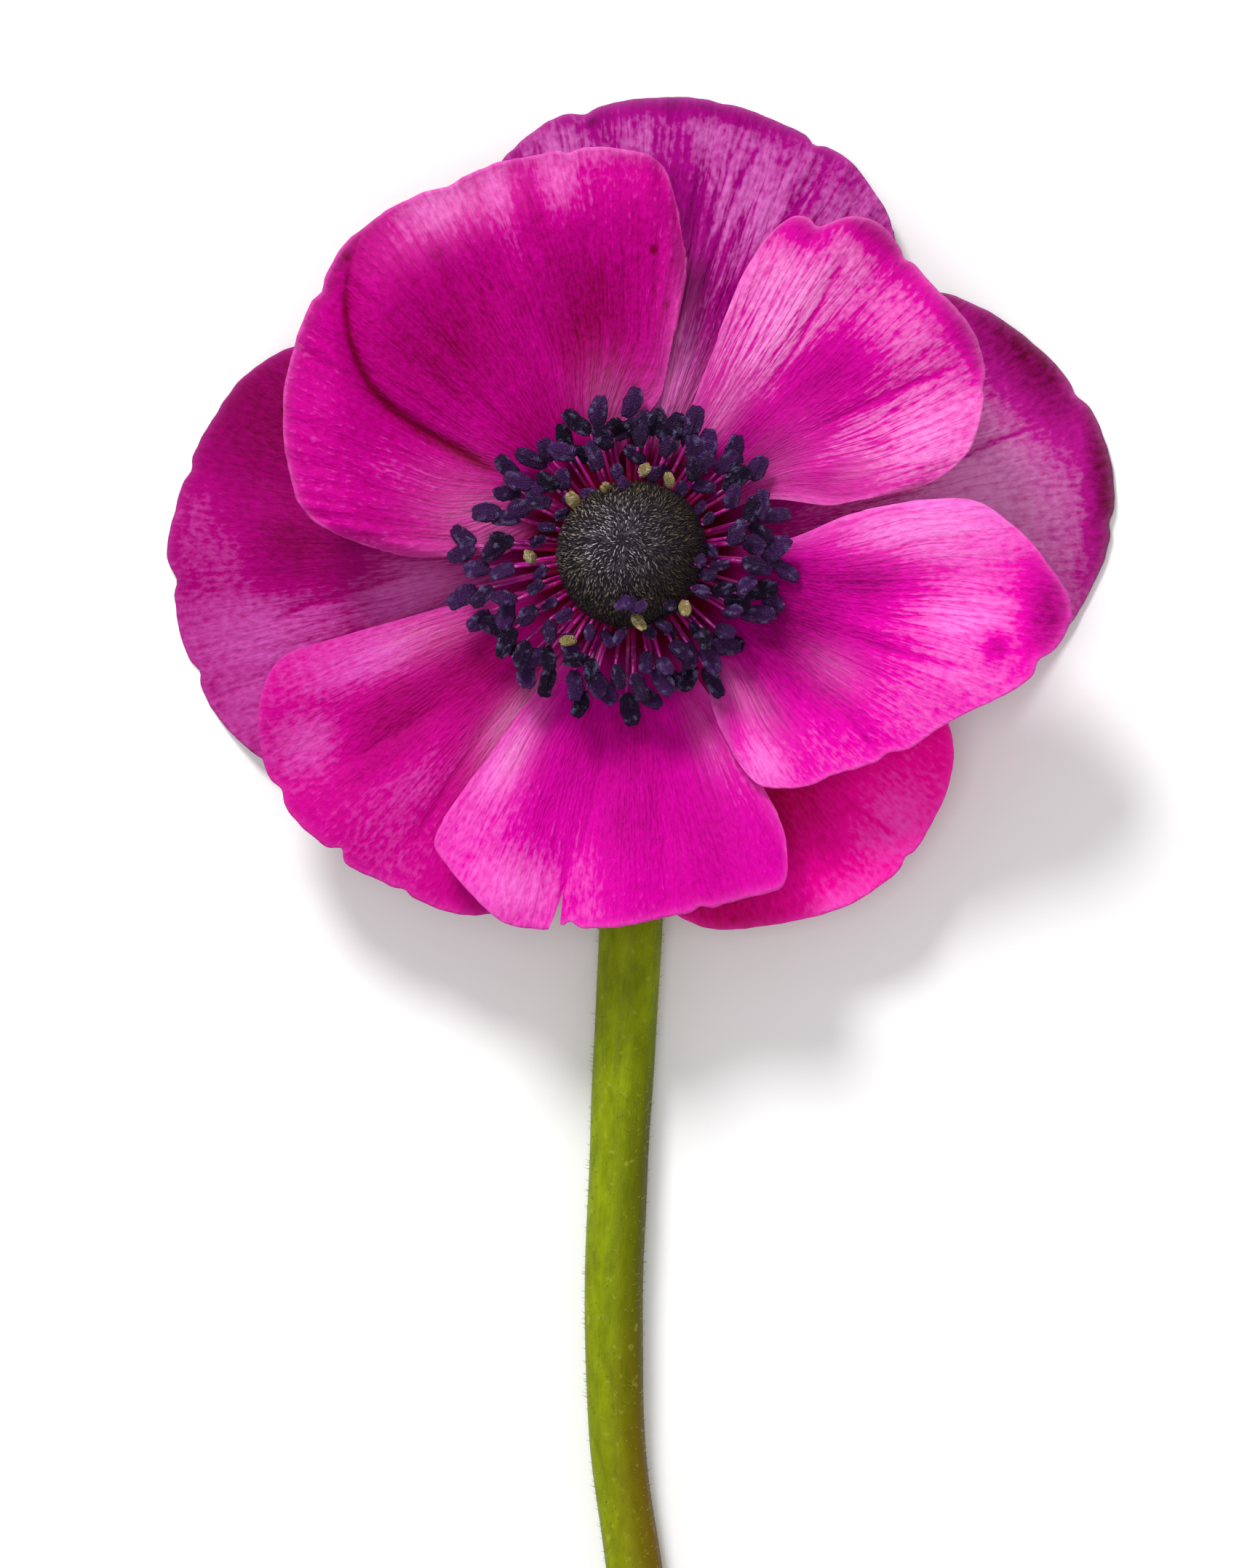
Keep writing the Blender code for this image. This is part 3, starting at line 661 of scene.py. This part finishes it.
stemDesign = {
    "line": (  # x, y, z and radius in mm, from the cut end to the neck, as the frame's stem runs
        (3.9, -121.5, 2.7, 2.7), (2.2, -108.0, 2.7, 2.7), (0.2, -95.0, 2.7, 2.7), (-1.3, -84.0, 2.7, 2.7),
        (-1.7, -73.0, 2.8, 2.8), (-1.4, -61.0, 2.85, 2.85), (-0.8, -48.0, 2.95, 2.95),
        (-0.1, -35.0, 3.05, 3.05), (0.2, -23.0, 3.1, 3.1), (0.2, -13.2, 4.2, 3.05), (0.1, -5.9, 6.8, 3.05),
        (0.0, -1.3, 9.9, 3.3)),
    "sides": 48,
    "stepsPerSpan": 12,
    # height above the lowest tepals' seat, and radius
    "receptacle": ((-0.8, 4.2), (-0.1, 4.9), (5.9, 4.9), (6.2, 4.6), (6.4, 4.1)),
    "skin": 0.08,  # mm taken off the frame's radius, which the ridges and bumps give back
    "ridge": 0.05,
    "ridges": 9,
    "bump": 0.12,
    "slant": 0.6,  # of the cut end
    "dry": (62, 22),  # mm from the cut end between which the far flank dries
    "lit": (64, 86),  # and between which the painted shade on that flank fades
    "hairs": 2200,
    "hairLength": 0.45,
    "hairRoot": 0.12,  # mm that a hair starts below the skin
}
stemColours = {
    "young": ((100, 116, 0), (130, 148, 0)),
    "streak": (150, 158, 30),
    # painted shade for the stem's far side
    "flank": (82, 82, 0),
    "dry": (116, 80, 0),
    "fleck": (176, 176, 70),
    "receptacle": (196, 0, 36),
    "down": ((132, 144, 20), (190, 194, 110)),
}


def stemStations():
    # the centre, direction and radius of each ring, from the cut end to the top of the receptacle
    line = stemDesign["line"]
    columns = list(zip(*line))
    last = len(line) - 1

    def at(position):
        return Vector([curveThrough(column, position) for column in columns[:3]])

    stations = []
    for step in range(last * stemDesign["stepsPerSpan"] + 1):
        position = step / stemDesign["stepsPerSpan"]
        tangent = at(min(position + 0.02, last)) - at(max(position - 0.02, 0))
        tangent.x = 0.0
        stations.append((at(position), tangent.normalized(), curveThrough(columns[3], position)))
    for z, radius in stemDesign["receptacle"]:
        stations.append((Vector((0.0, 0.0, z + seatZ)), Vector((0.0, 0.0, 1.0)), radius))
    return stations


def makeStem():
    bm = bmesh.new()
    paint = bm.verts.layers.float_color.new("paint")
    uvLayer = bm.loops.layers.uv.new("UVMap")
    sides = stemDesign["sides"]
    start = bmesh.ops.create_circle(bm, cap_ends=True, segments=sides, radius=1.0)["verts"]
    stations = stemStations()
    around = {vert: i for i, vert in enumerate(start)}
    length = {}

    def place(ring, station, run, first=False):
        centre, tangent, radius = station
        side = Vector((1.0, 0.0, 0.0))
        up = tangent.cross(side).normalized()
        for vert in ring:
            angle = math.tau * around[vert] / sides
            ridges = stemDesign["ridge"] * math.sin(stemDesign["ridges"] * angle + 0.02 * run)
            bumps = stemDesign["bump"] * noise.noise(Vector((math.cos(angle), math.sin(angle), run * 0.1)))
            reach = radius - stemDesign["skin"] + ridges + bumps
            vert.co = centre + reach * (math.cos(angle) * side + math.sin(angle) * up)
            if first:
                vert.co.y += stemDesign["slant"] * (vert.co.z / radius - 1)
            length[vert] = run
            crimson = ease(vert.co.z - seatZ, -1.0, 0.5)
            dry = ease(run, 2, -8) + (0.5 + 0.45 * math.cos(angle)) * ease(run, *stemDesign["dry"])
            # painted shade down the stem's far side, fading toward the neck
            flank = (0.5 + 0.5 * math.cos(angle)) * (1 - 0.7 * ease(run, *stemDesign["lit"]))
            vert[paint] = (crimson, min(dry, 1.0), flank, 1.0)

    run = 0.0
    place(start, stations[0], run, first=True)
    ring, before = start, stations[0][0]
    for station in stations[1:]:
        run += (station[0] - before).length
        before = station[0]
        edges = [bm.edges.get((ring[i], ring[(i + 1) % sides])) for i in range(sides)]
        grown = bmesh.ops.extrude_edge_only(bm, edges=edges)["geom"]
        fresh = {item for item in grown if isinstance(item, bmesh.types.BMVert)}
        nextRing = []
        for vert in ring:
            partner = next(e.other_vert(vert) for e in vert.link_edges if e.other_vert(vert) in fresh)
            around[partner] = around[vert]
            nextRing.append(partner)
        ring = nextRing
        place(ring, station, run)
    bmesh.ops.contextual_create(
        bm, geom=[bm.edges.get((ring[i], ring[(i + 1) % sides])) for i in range(sides)])
    for face in bm.faces:
        turns = [around[loop.vert] / sides for loop in face.loops]
        wraps = max(turns) - min(turns) > 0.5
        for loop, turn in zip(face.loops, turns):
            turn = turn + 1 if wraps and turn < 0.5 else turn
            loop[uvLayer].uv = (turn, length[loop.vert] * 0.01)
    bmesh.ops.recalc_face_normals(bm, faces=bm.faces)
    return bm


def stemMaterial():
    made, tree, shader = startMaterial("stemSkin", roughness=0.5, specular=0.08)
    crimson, dry, flank = paintMasks(tree)
    fibre = useGroup(tree, fibres, {"Vector": uvPlace(tree), "Across": 40.0, "Along": 30.0, "Wander": 0.02})
    spots = fleckMasks(tree, 1100.0, 0.3)
    colour = twoColours(tree, fibre["Broad"], stemColours["young"])
    colour = tinted(tree, colour, fibre["Fine"], stemColours["streak"], 0.18)
    # painted shade on the stem's far side
    colour = tinted(tree, colour, mapRange(tree, flank, 0.35, 0.95), stemColours["flank"])
    colour = tinted(tree, colour, dry, stemColours["dry"], 0.75)
    colour = tinted(tree, colour, spots["Flecks"], stemColours["fleck"], 0.3)
    colour = tinted(tree, colour, crimson, stemColours["receptacle"])
    setColour(tree, shader, colour)
    setBump(tree, shader, fibre["Height"], 0.5, 0.0001)
    return made


def hairMaterial():
    made, tree, shader = startMaterial("stemDown", roughness=0.6, specular=0.3)
    colour = twoColours(tree, paintMasks(tree)[0], stemColours["down"])
    setColour(tree, shader, colour)
    return made


def makeHairs(finish):
    rng = random.Random(5)
    template = meshOf("hairTemplate", uprightCone(3, 0.035, 0.006))
    stations = stemStations()[1:-len(stemDesign["receptacle"]) - 1]
    bm = bmesh.new()
    paint = bm.verts.layers.float_color.new("paint")
    for _ in range(stemDesign["hairs"]):
        centre, tangent, radius = rng.choice(stations)
        centre = centre + tangent * rng.uniform(-0.6, 0.6)
        angle = rng.uniform(0, math.tau)
        side = Vector((1.0, 0.0, 0.0))
        out = math.cos(angle) * side + math.sin(angle) * tangent.cross(side).normalized()
        root = centre + out * (radius - stemDesign["hairRoot"])
        if root.z < 0.5:
            continue  # no hairs where the stem lies on the surface
        lean = (out + tangent * rng.uniform(0.1, 0.9) + side * rng.uniform(-0.4, 0.4)).normalized()
        long = stemDesign["hairLength"] * rng.uniform(0.5, 1.3)
        for vert in addCopy(bm, template, standAt(root, lean) @ Matrix.Diagonal((1, 1, long, 1))):
            vert[paint] = (rng.random(), 0.0, 0.0, 1.0)
    bpy.data.meshes.remove(template)
    finishPiece("stemHairs", bm, [finish])


finishPiece("stemAndReceptacle", makeStem(), [stemMaterial()], ["stem"])
makeHairs(hairMaterial())
print("stem made")


# carpel boss

bossDesign = {
    "radius": 6.7,
    "height": 5.3,
    "waist": 2.4,  # mm from its foot up to its widest ring
    "footRadius": 4.4,
    "footDepth": 2.3,
    "unevenness": (0.03, 0.015),  # shares by which two and three soft corners stand out
    "shift": (0.0, -0.3),
    "apexShift": (-0.7, 1.1),  # the middle of the boss leans a little to one side
    "litSide": (-0.9, 0.1),  # the side toward the light, where the styles are painted lighter as a painted highlight; the far side gets painted shade
    "styles": 3900,
    "styleLength": 0.46,
    "styleRadius": 0.056,
    "lowestStyle": 1.1,  # how far down the flank they go: 1 is the waist
}
# the boss: its flank colours are painted shade, and its crown colours are lighter, partly its own lilac-grey
# and partly a painted highlight; the styles' feet are darkened as painted shade between them
bossColours = {
    "flank": ((14, 6, 12), (34, 26, 20)),
    "crown": ((30, 24, 32), (70, 62, 72)),
    "flankStyles": ((12, 8, 12), (140, 120, 56)),
    "crownStyles": ((30, 22, 38), (218, 210, 222)),
    "grain": (40, 34, 40),
    "shadeBetweenStyles": (14, 8, 14),
}


def bossPoint(polar, turn):
    # a point of the dome, polar angle from its leaning apex
    rise, inner = bossDesign["height"], 0.0
    if polar > math.pi / 2:
        rise, inner = bossDesign["footDepth"], bossDesign["footRadius"]
    z = bossLow.z / mm + bossDesign["waist"] + rise * math.cos(polar)
    radius = inner + (bossDesign["radius"] - inner) * math.sin(polar)
    two, three = bossDesign["unevenness"]
    radius *= 1 + two * math.sin(2 * turn + 0.4) + three * math.sin(3 * turn)
    lean = max(math.cos(polar), 0.0)
    shiftX, shiftY = bossDesign["shift"]
    apexX, apexY = bossDesign["apexShift"]
    return Vector((
        radius * math.cos(turn) + apexX * lean + shiftX, radius * math.sin(turn) + apexY * lean + shiftY, z))


def makeBossBody(finish):
    bm = bmesh.new()
    paint = bm.verts.layers.float_color.new("paint")
    bmesh.ops.create_uvsphere(bm, u_segments=64, v_segments=40, radius=1.0)
    for vert in bm.verts:
        polar = min(math.acos(min(max(vert.co.z, -1.0), 1.0)), math.radians(150))
        vert.co = bossPoint(polar, math.atan2(vert.co.y, vert.co.x))
        # crown mask: lighter at the top, partly a painted highlight, and darker down the flank as painted
        # shade
        vert[paint] = (1 - ease(polar, 0.0, 1.2), 0.0, 0.0, 1.0)
    bmesh.ops.remove_doubles(bm, verts=bm.verts, dist=0.001)
    finishPiece("bossBody", bm, [finish], ["carpel_boss"])


def styleTemplate():
    # a short plump style, pointed a little at its tip
    bm = uprightCone(4, 0.8, 0.5, cuts=1)
    for vert in bm.verts:
        swell = 1.0 + 0.6 * math.sin(vert.co.z * math.pi)
        vert.co.x *= swell
        vert.co.y *= swell
    return meshOf("styleTemplate", bm)


def makeStyles(finish):
    rng = random.Random(21)
    template = styleTemplate()
    bm = bmesh.new()
    paint = bm.verts.layers.float_color.new("paint")
    count, golden = bossDesign["styles"], math.pi * (3 - math.sqrt(5))
    for i in range(count):
        polar = math.acos(1 - bossDesign["lowestStyle"] * (i + 0.5) / count) + rng.uniform(-0.01, 0.01)
        turn = i * golden + rng.uniform(-0.04, 0.04)
        root = bossPoint(polar, turn)
        along = (bossPoint(min(polar + 0.02, 1.75), turn) - root).normalized()
        sideways = (bossPoint(polar, turn + 0.02) - root).normalized()
        normal = along.cross(sideways)
        swirl = 1.3 * noise.noise(Vector((root.x * 0.5, root.y * 0.5, 2.0))) + rng.uniform(-0.55, 0.55)
        lean = normal * rng.uniform(0.25, 0.6) + along * math.cos(swirl) + sideways * math.sin(swirl)
        lean.normalize()
        long = bossDesign["styleLength"] * rng.uniform(0.65, 1.2)
        thick = bossDesign["styleRadius"] * rng.uniform(0.75, 1.25)
        matrix = standAt(root - normal * 0.03, lean) @ Matrix.Diagonal((thick, thick, long, 1))
        # painted light: the crown colour near the top, partly a painted highlight, and the styles darkened
        # down the flank as painted shade
        apex = 1 - ease(polar, 0.05, 1.05)
        flank = ease(polar, 0.95, 1.4)
        # painted light: styles on the side toward the light are lighter, a painted highlight, and on the far
        # side darker, painted shade
        litX, litY = bossDesign["litSide"]
        sideLight = (math.cos(turn) * litX + math.sin(turn) * litY) * math.sin(polar)
        apex = min(apex + 0.35 * max(sideLight, 0.0), 1.0) * (1 + 0.7 * min(sideLight, 0.0))
        tone = rng.random() ** (1.5 + 1.6 * ease(polar, 0.4, 1.2)) * (1 - 0.88 * flank)
        tone *= 0.85 + 0.45 * sideLight
        for vert in addCopy(bm, template, matrix):
            tip = (vert.co - root).dot(lean) / long
            vert[paint] = (apex, tone, min(max(tip, 0.0), 1.0), 1.0)
    bpy.data.meshes.remove(template)
    finishPiece("bossStyles", bm, [finish])


def bossMaterial():
    made, tree, shader = startMaterial("bossSkin", roughness=0.7, specular=0.15)
    spots = fleckMasks(tree, 1500.0, 0.5)
    # the flank colour is painted shade, and the crown colour is partly a painted highlight
    flank = twoColours(tree, spots["Flecks"], bossColours["flank"])
    crown = twoColours(tree, spots["Flecks"], bossColours["crown"])
    setColour(tree, shader, mixColours(tree, paintMasks(tree)[0], flank, crown))
    setBump(tree, shader, spots["Grain"], 0.5, 0.0001)
    return made


def styleMaterial():
    made, tree, shader = startMaterial("styleSkin", roughness=0.45, specular=0.4)
    apex, tone, rise = paintMasks(tree)
    # flank styles olive and darker, crown styles lilac-grey and partly a painted highlight
    flank = twoColours(tree, tone, bossColours["flankStyles"])
    crown = twoColours(tree, tone, bossColours["crownStyles"])
    grain = fleckMasks(tree, 2400.0, 0.4)
    tip = tinted(tree, mixColours(tree, apex, flank, crown), grain["Flecks"], bossColours["grain"], 0.4)
    # painted shade: the styles' feet darkened between them
    colour = mixColours(tree, mapRange(tree, rise, 0.12, 0.85), fromScreen(*bossColours["shadeBetweenStyles"]), tip)
    setColour(tree, shader, colour)
    return made


makeBossBody(bossMaterial())
makeStyles(styleMaterial())
print("boss made")


# stamens

stamenDesign = {
    "start": 4.95,  # mm from the axis, on the receptacle's flank
    "filament": (0.24, 0.15),  # radius at the foot and at the anther
    "lowestCollar": 3.06,  # mm above the lowest tepal's seat
    "collarStep": 0.8,
    "bossGap": 0.6,  # how far the anthers that lean over the boss stay clear of it, sideways and upward
    "bossRise": 0.3,
    "rimShare": 0.8,  # where an anther's foot is, counted back from its tip in anther lengths
    "tries": 10,  # places tried for each stamen, of which the emptiest is taken
    # places of the short stamens that lean over the boss, and of the cream anthers: degrees, mm from the axis
    "leaning": (
        (258, 5.3), (265, 5.0), (272, 5.2), (279, 5.3), (306, 6.3), (331, 7.4), (352, 6.5), (98, 6.4)),
    "cream": ((80, 7.7), (63, 7.6), (139, 7.2), (113, 6.4), (183, 9.5), (276, 6.7), (312, 7.4), (234, 10.3)),
    # how far the anthers' tips reach from the axis in mm, every thirty degrees round the head
    "reach": (15.6, 15.5, 14.2, 14.9, 14.4, 15.0, 17.3, 17.2, 16.2, 15.9, 15.2, 14.8),
}
stamenColours = {
    "filament": ((112, 0, 88), (196, 34, 152)),
    "filamentFleck": (226, 110, 200),
    "filamentFoot": (170, 0, 34),
    "anther": ((19, 1, 29), (78, 34, 98)),
    # the pale colour of the painted highlight on the anthers' crests
    "crestHighlight": (124, 116, 166),
    "cream": ((170, 150, 96), (216, 200, 160)),
    "sheen": (150, 150, 190),
}
# share of the full reach, rise of the anthers above the collar and their scatter in mm; length, width and
# depth of the anthers in mm, and whether it holds the leaning and the cream stamens
whorls = {
    "outerStamens": dict(
        node="stamens_outer", count=42, share=0.97, rise=2.4, scatter=0.8, size=(3.4, 1.7, 1.2),
        special=False),
    "secondStamens": dict(
        node="stamens_second", count=38, share=0.87, rise=3.6, scatter=0.8, size=(3.2, 1.65, 1.15),
        special=False),
    "thirdStamens": dict(
        node="stamens_third", count=28, share=0.77, rise=4.0, scatter=0.8, size=(2.9, 1.5, 1.05),
        special=False),
    "innerStamens": dict(
        node="stamens_inner", count=44, share=0.57, rise=3.6, scatter=0.5, size=(2.1, 1.1, 0.85),
        special=True),
}


def antherTemplate():
    # two lobes side by side with a furrow between them, its foot at the origin
    bm = bmesh.new()
    bmesh.ops.create_uvsphere(bm, u_segments=12, v_segments=8, radius=1.0)
    for vert in bm.verts:
        x, y, z = vert.co
        ring = math.hypot(x, y)
        turn = math.atan2(y, x)
        full = math.sqrt(1 - abs(z) ** 2.4) if ring > 0.001 else 0.0
        lobes = 0.3 + 0.7 * min(abs(math.cos(turn)) * 1.7, 1.0)
        notch = 0.07 * math.exp(-(x / 0.3) ** 2) * abs(z)
        vert.co = Vector((
            0.5 * full * math.cos(turn), 0.5 * full * math.sin(turn) * lobes, 0.5 + z * (0.5 - notch)))
    return meshOf("antherTemplate", bm)


def stamenReach(degrees):
    # the ring of anthers spreads farther on one side
    table = stamenDesign["reach"]
    return curveThrough(table + table[:2], degrees % 360 / 30)


def bossTop(reach):
    # how high an anther has to be to clear the boss at this distance from the axis
    share = min(reach / (bossDesign["radius"] + stamenDesign["bossGap"]), 1.0)
    return bossLow.z / mm + bossDesign["waist"] + bossDesign["height"] * math.sqrt(1 - share * share)


def antherPoint(outward, lean, swing, lift):
    # the direction of an anther that leans outward, swings sideways and lifts
    across = Vector((-outward.y, outward.x, 0.0))
    return (outward * lean + across * swing + Vector((0, 0, lift))).normalized()


def chosenStamens(design, collarZ, rng):
    # the short stamens that stand at places of their own
    long = design["size"][0]
    for kind, cream in (("leaning", 0.0), ("cream", 1.0)):
        for degrees, reach in stamenDesign[kind]:
            outward = towards(math.radians(degrees))
            z = max(bossTop(reach - long * 0.3) + stamenDesign["bossRise"], collarZ + design["rise"])
            point = antherPoint(outward, rng.uniform(0.2, 0.9), rng.uniform(-0.5, 0.5), 0.5)
            yield Vector((0, 0, z)) + outward * reach - point * long * 0.5, point, outward, cream


def placeStamens(design, collarZ, rng, taken):
    # where each filament ends and how its anther points; crowded places are avoided
    long = design["size"][0]
    made = list(chosenStamens(design, collarZ, rng)) if design["special"] else []
    taken += [foot + point * long * 0.5 for foot, point, _, _ in made]
    count = design["count"] - len(made)
    for i in range(count):
        best = None
        for _ in range(stamenDesign["tries"]):
            turn = (i + rng.uniform(-0.8, 0.8)) / count * math.tau
            reach = stamenReach(math.degrees(turn)) * design["share"] - long * stamenDesign["rimShare"]
            reach += rng.uniform(-1, 1) * design["scatter"]
            z = collarZ + design["rise"] + rng.uniform(-1, 1) * 0.9
            outward = towards(turn)
            foot = Vector((0, 0, z)) + outward * reach
            point = antherPoint(
                outward, rng.uniform(0.25, 1.2), rng.uniform(-0.65, 0.65), rng.uniform(-0.25, 0.45))
            middle = foot + point * long * 0.5
            room = min([(middle - other).length for other in taken] + [9.0])
            if best is None or room > best[0]:
                best = (room, middle, (foot, point, outward, 0.0))
        taken.append(best[1])
        made.append(best[2])
    return made


def makeWhorl(name, design, collarZ, rng, taken, templates, finishes):
    filament, anther = templates
    bm = bmesh.new()
    paint = bm.verts.layers.float_color.new("paint")
    for foot, point, outward, cream in placeStamens(design, collarZ, rng, taken):
        start = outward * stamenDesign["start"] + Vector((0, 0, collarZ + 0.2))
        bulge = start.lerp(foot, 0.5) + outward * rng.uniform(-0.3, 0.6)
        bulge.z += rng.uniform(-0.7, 0.5)
        wide, narrow = stamenDesign["filament"]
        tone = rng.random()

        def bend(vert):
            t = vert.co.z
            centre = start * (1 - t) ** 2 + bulge * 2 * t * (1 - t) + foot * t * t
            tangent = ((bulge - start) * 2 * (1 - t) + (foot - bulge) * 2 * t).normalized()
            level = Vector((-tangent.y, tangent.x, 0.0)).normalized()
            radius = wide + (narrow - wide) * t
            vert[paint] = (t, tone, cream, 1.0)
            vert.co = centre + radius * (vert.co.x * level + vert.co.y * tangent.cross(level))

        addCopy(bm, filament, Matrix.Identity(4), bend)
        long, broad, deep = (part * rng.uniform(0.86, 1.12) for part in design["size"])
        curve = rng.uniform(-0.35, 0.35)
        level = Vector((-point.y, point.x, 0.0)).normalized()
        basis = Matrix((level, level.cross(point) * -1, point)).transposed().to_4x4()
        roll = Matrix.Rotation(rng.uniform(-0.6, 0.6), 4, "Z")
        matrix = Matrix.Translation(foot - point * 0.2) @ basis @ roll
        matrix = matrix @ Matrix.Diagonal((broad, deep, long, 1))
        seed = rng.uniform(0, 50)

        def shapeAnther(vert):
            rough = noise.noise(vert.co * 4.5 + Vector((seed, 0, 0)))
            rough += 0.6 * noise.noise(vert.co * 9 + Vector((0, seed, 0)))
            # crest: where the painted highlight goes, on the lobes and not in the furrow
            crest = ease(abs(vert.co.x), 0.0, 0.3)
            vert[paint] = (crest * (0.6 + rough), tone, cream, 1.0)
            spread = 1 + 0.3 * rough
            sweep = curve * (vert.co.z - 0.5) ** 2
            vert.co = Vector((vert.co.x * spread + sweep, vert.co.y * spread, vert.co.z))

        faces = len(bm.faces)
        addCopy(bm, anther, matrix, shapeAnther)
        bm.faces.ensure_lookup_table()
        for face in bm.faces[faces:]:
            face.material_index = 1
    bmesh.ops.recalc_face_normals(bm, faces=bm.faces)
    finishPiece(name, bm, finishes, [design["node"]])


def filamentMaterial():
    made, tree, shader = startMaterial("filamentSkin", roughness=0.35, specular=0.45)
    along, tone, _ = paintMasks(tree)
    spots = fleckMasks(tree, 1500.0, 0.4)
    colour = twoColours(tree, tone, stamenColours["filament"])
    colour = tinted(tree, colour, spots["Flecks"], stamenColours["filamentFleck"], 0.35)
    colour = tinted(tree, colour, mapRange(tree, along, 0.6, 0.15), stamenColours["filamentFoot"])
    setColour(tree, shader, colour)
    return made


def antherMaterial():
    made, tree, shader = startMaterial(
        "antherSkin", roughness=0.45, specular=0.2, sheen=0.03, sheenTint=fromScreen(*stamenColours["sheen"]))
    crest, tone, creamMask = paintMasks(tree)
    spots = fleckMasks(tree, 1300.0, 0.5)
    # painted highlight on the lobes' crests
    lit = times(tree, spots["Flecks"], times(tree, crest, 0.75), clamp=True)
    colour = tinted(tree, twoColours(tree, tone, stamenColours["anther"]), lit, stamenColours["crestHighlight"])
    cream = twoColours(tree, spots["Flecks"], stamenColours["cream"])
    setColour(tree, shader, mixColours(tree, creamMask, colour, cream))
    setBump(tree, shader, plus(tree, spots["Grain"], spots["Mottle"]), 1.0, 0.0003)
    return made


finishes = [filamentMaterial(), antherMaterial()]
templates = (meshOf("filamentTemplate", uprightCone(6, 1.0, 1.0, cuts=6)), antherTemplate())
taken = []
rng = random.Random(8)
for i, (name, design) in enumerate(whorls.items()):
    collarZ = seatZ + stamenDesign["lowestCollar"] + i * stamenDesign["collarStep"]
    makeWhorl(name, design, collarZ, rng, taken, templates, finishes)
for template in templates:
    bpy.data.meshes.remove(template)
print("stamens made:", len(taken))


# floor, light and camera

studio = {
    "viewWidth": 0.11696,  # metres that the picture takes in at the level of the blades
    "aim": (-0.37, -21.56),  # mm from the head's axis
    "level": 0.014,
    "distance": 1.0,
    "sensor": 36.0,
    "lights": {  # place from the head's axis and diameter in metres, and power
        "windowLight": ((-0.32, 0.72, 0.78), 0.3, 9.8),
        "overheadLight": ((-0.1, -0.1, 1.3), 0.6, 4.0),
    },
    "lightAim": 0.015,
    "skyLight": 0.54,
    "floorReach": 1.5,
    "floorTones": ((0.86, 0.86, 0.86, 1), (0.9, 0.9, 0.9, 1)),
}


def makeFloor():
    bm = bmesh.new()
    bmesh.ops.create_grid(bm, x_segments=1, y_segments=1, size=studio["floorReach"])
    mesh = meshOf("floor", bm)
    floor = addObject("floor", mesh)
    made, tree, shader = startMaterial("paleFloor", roughness=0.9, specular=0.0)
    cloud = addNode(tree, "TexNoise", {"Vector": objectPlace(tree), "Scale": 6.0})
    setColour(tree, shader, mixColours(tree, cloud.outputs[0], *studio["floorTones"]))
    mesh.materials.append(made)


def addLight(name, offset, size, power):
    x, y, z = offset
    light = bpy.data.lights.new(name, "AREA")
    light.shape = "DISK"
    light.size = size
    light.energy = power
    place = Vector((head.x + x, head.y + y, z))
    target = Vector((head.x, head.y, studio["lightAim"]))
    lamp = addObject(name, light)
    lamp.location = place
    lamp.rotation_euler = (target - place).to_track_quat("-Z", "Y").to_euler()


def makeStudio():
    makeFloor()
    for name, (offset, size, power) in studio["lights"].items():
        addLight(name, offset, size, power)
    world = bpy.data.worlds.new("studioWorld")
    world.use_nodes = True
    world.node_tree.nodes["Background"].inputs[0].default_value = (1, 1, 1, 1)
    world.node_tree.nodes["Background"].inputs[1].default_value = studio["skyLight"]
    scene.world = world
    camera = bpy.data.cameras.new("camera")
    camera.sensor_fit = "HORIZONTAL"
    camera.sensor_width = studio["sensor"]
    camera.lens = studio["sensor"] * studio["distance"] / studio["viewWidth"]
    camera.clip_start = 0.01
    camera.clip_end = 10.0
    viewer = addObject("camera", camera)
    aimX, aimY = studio["aim"]
    viewer.location = (head.x + aimX * mm, head.y + aimY * mm, studio["level"] + studio["distance"])
    scene.camera = viewer
    scene.view_settings.view_transform = "Standard"


makeStudio()
print("floor, light and camera made")
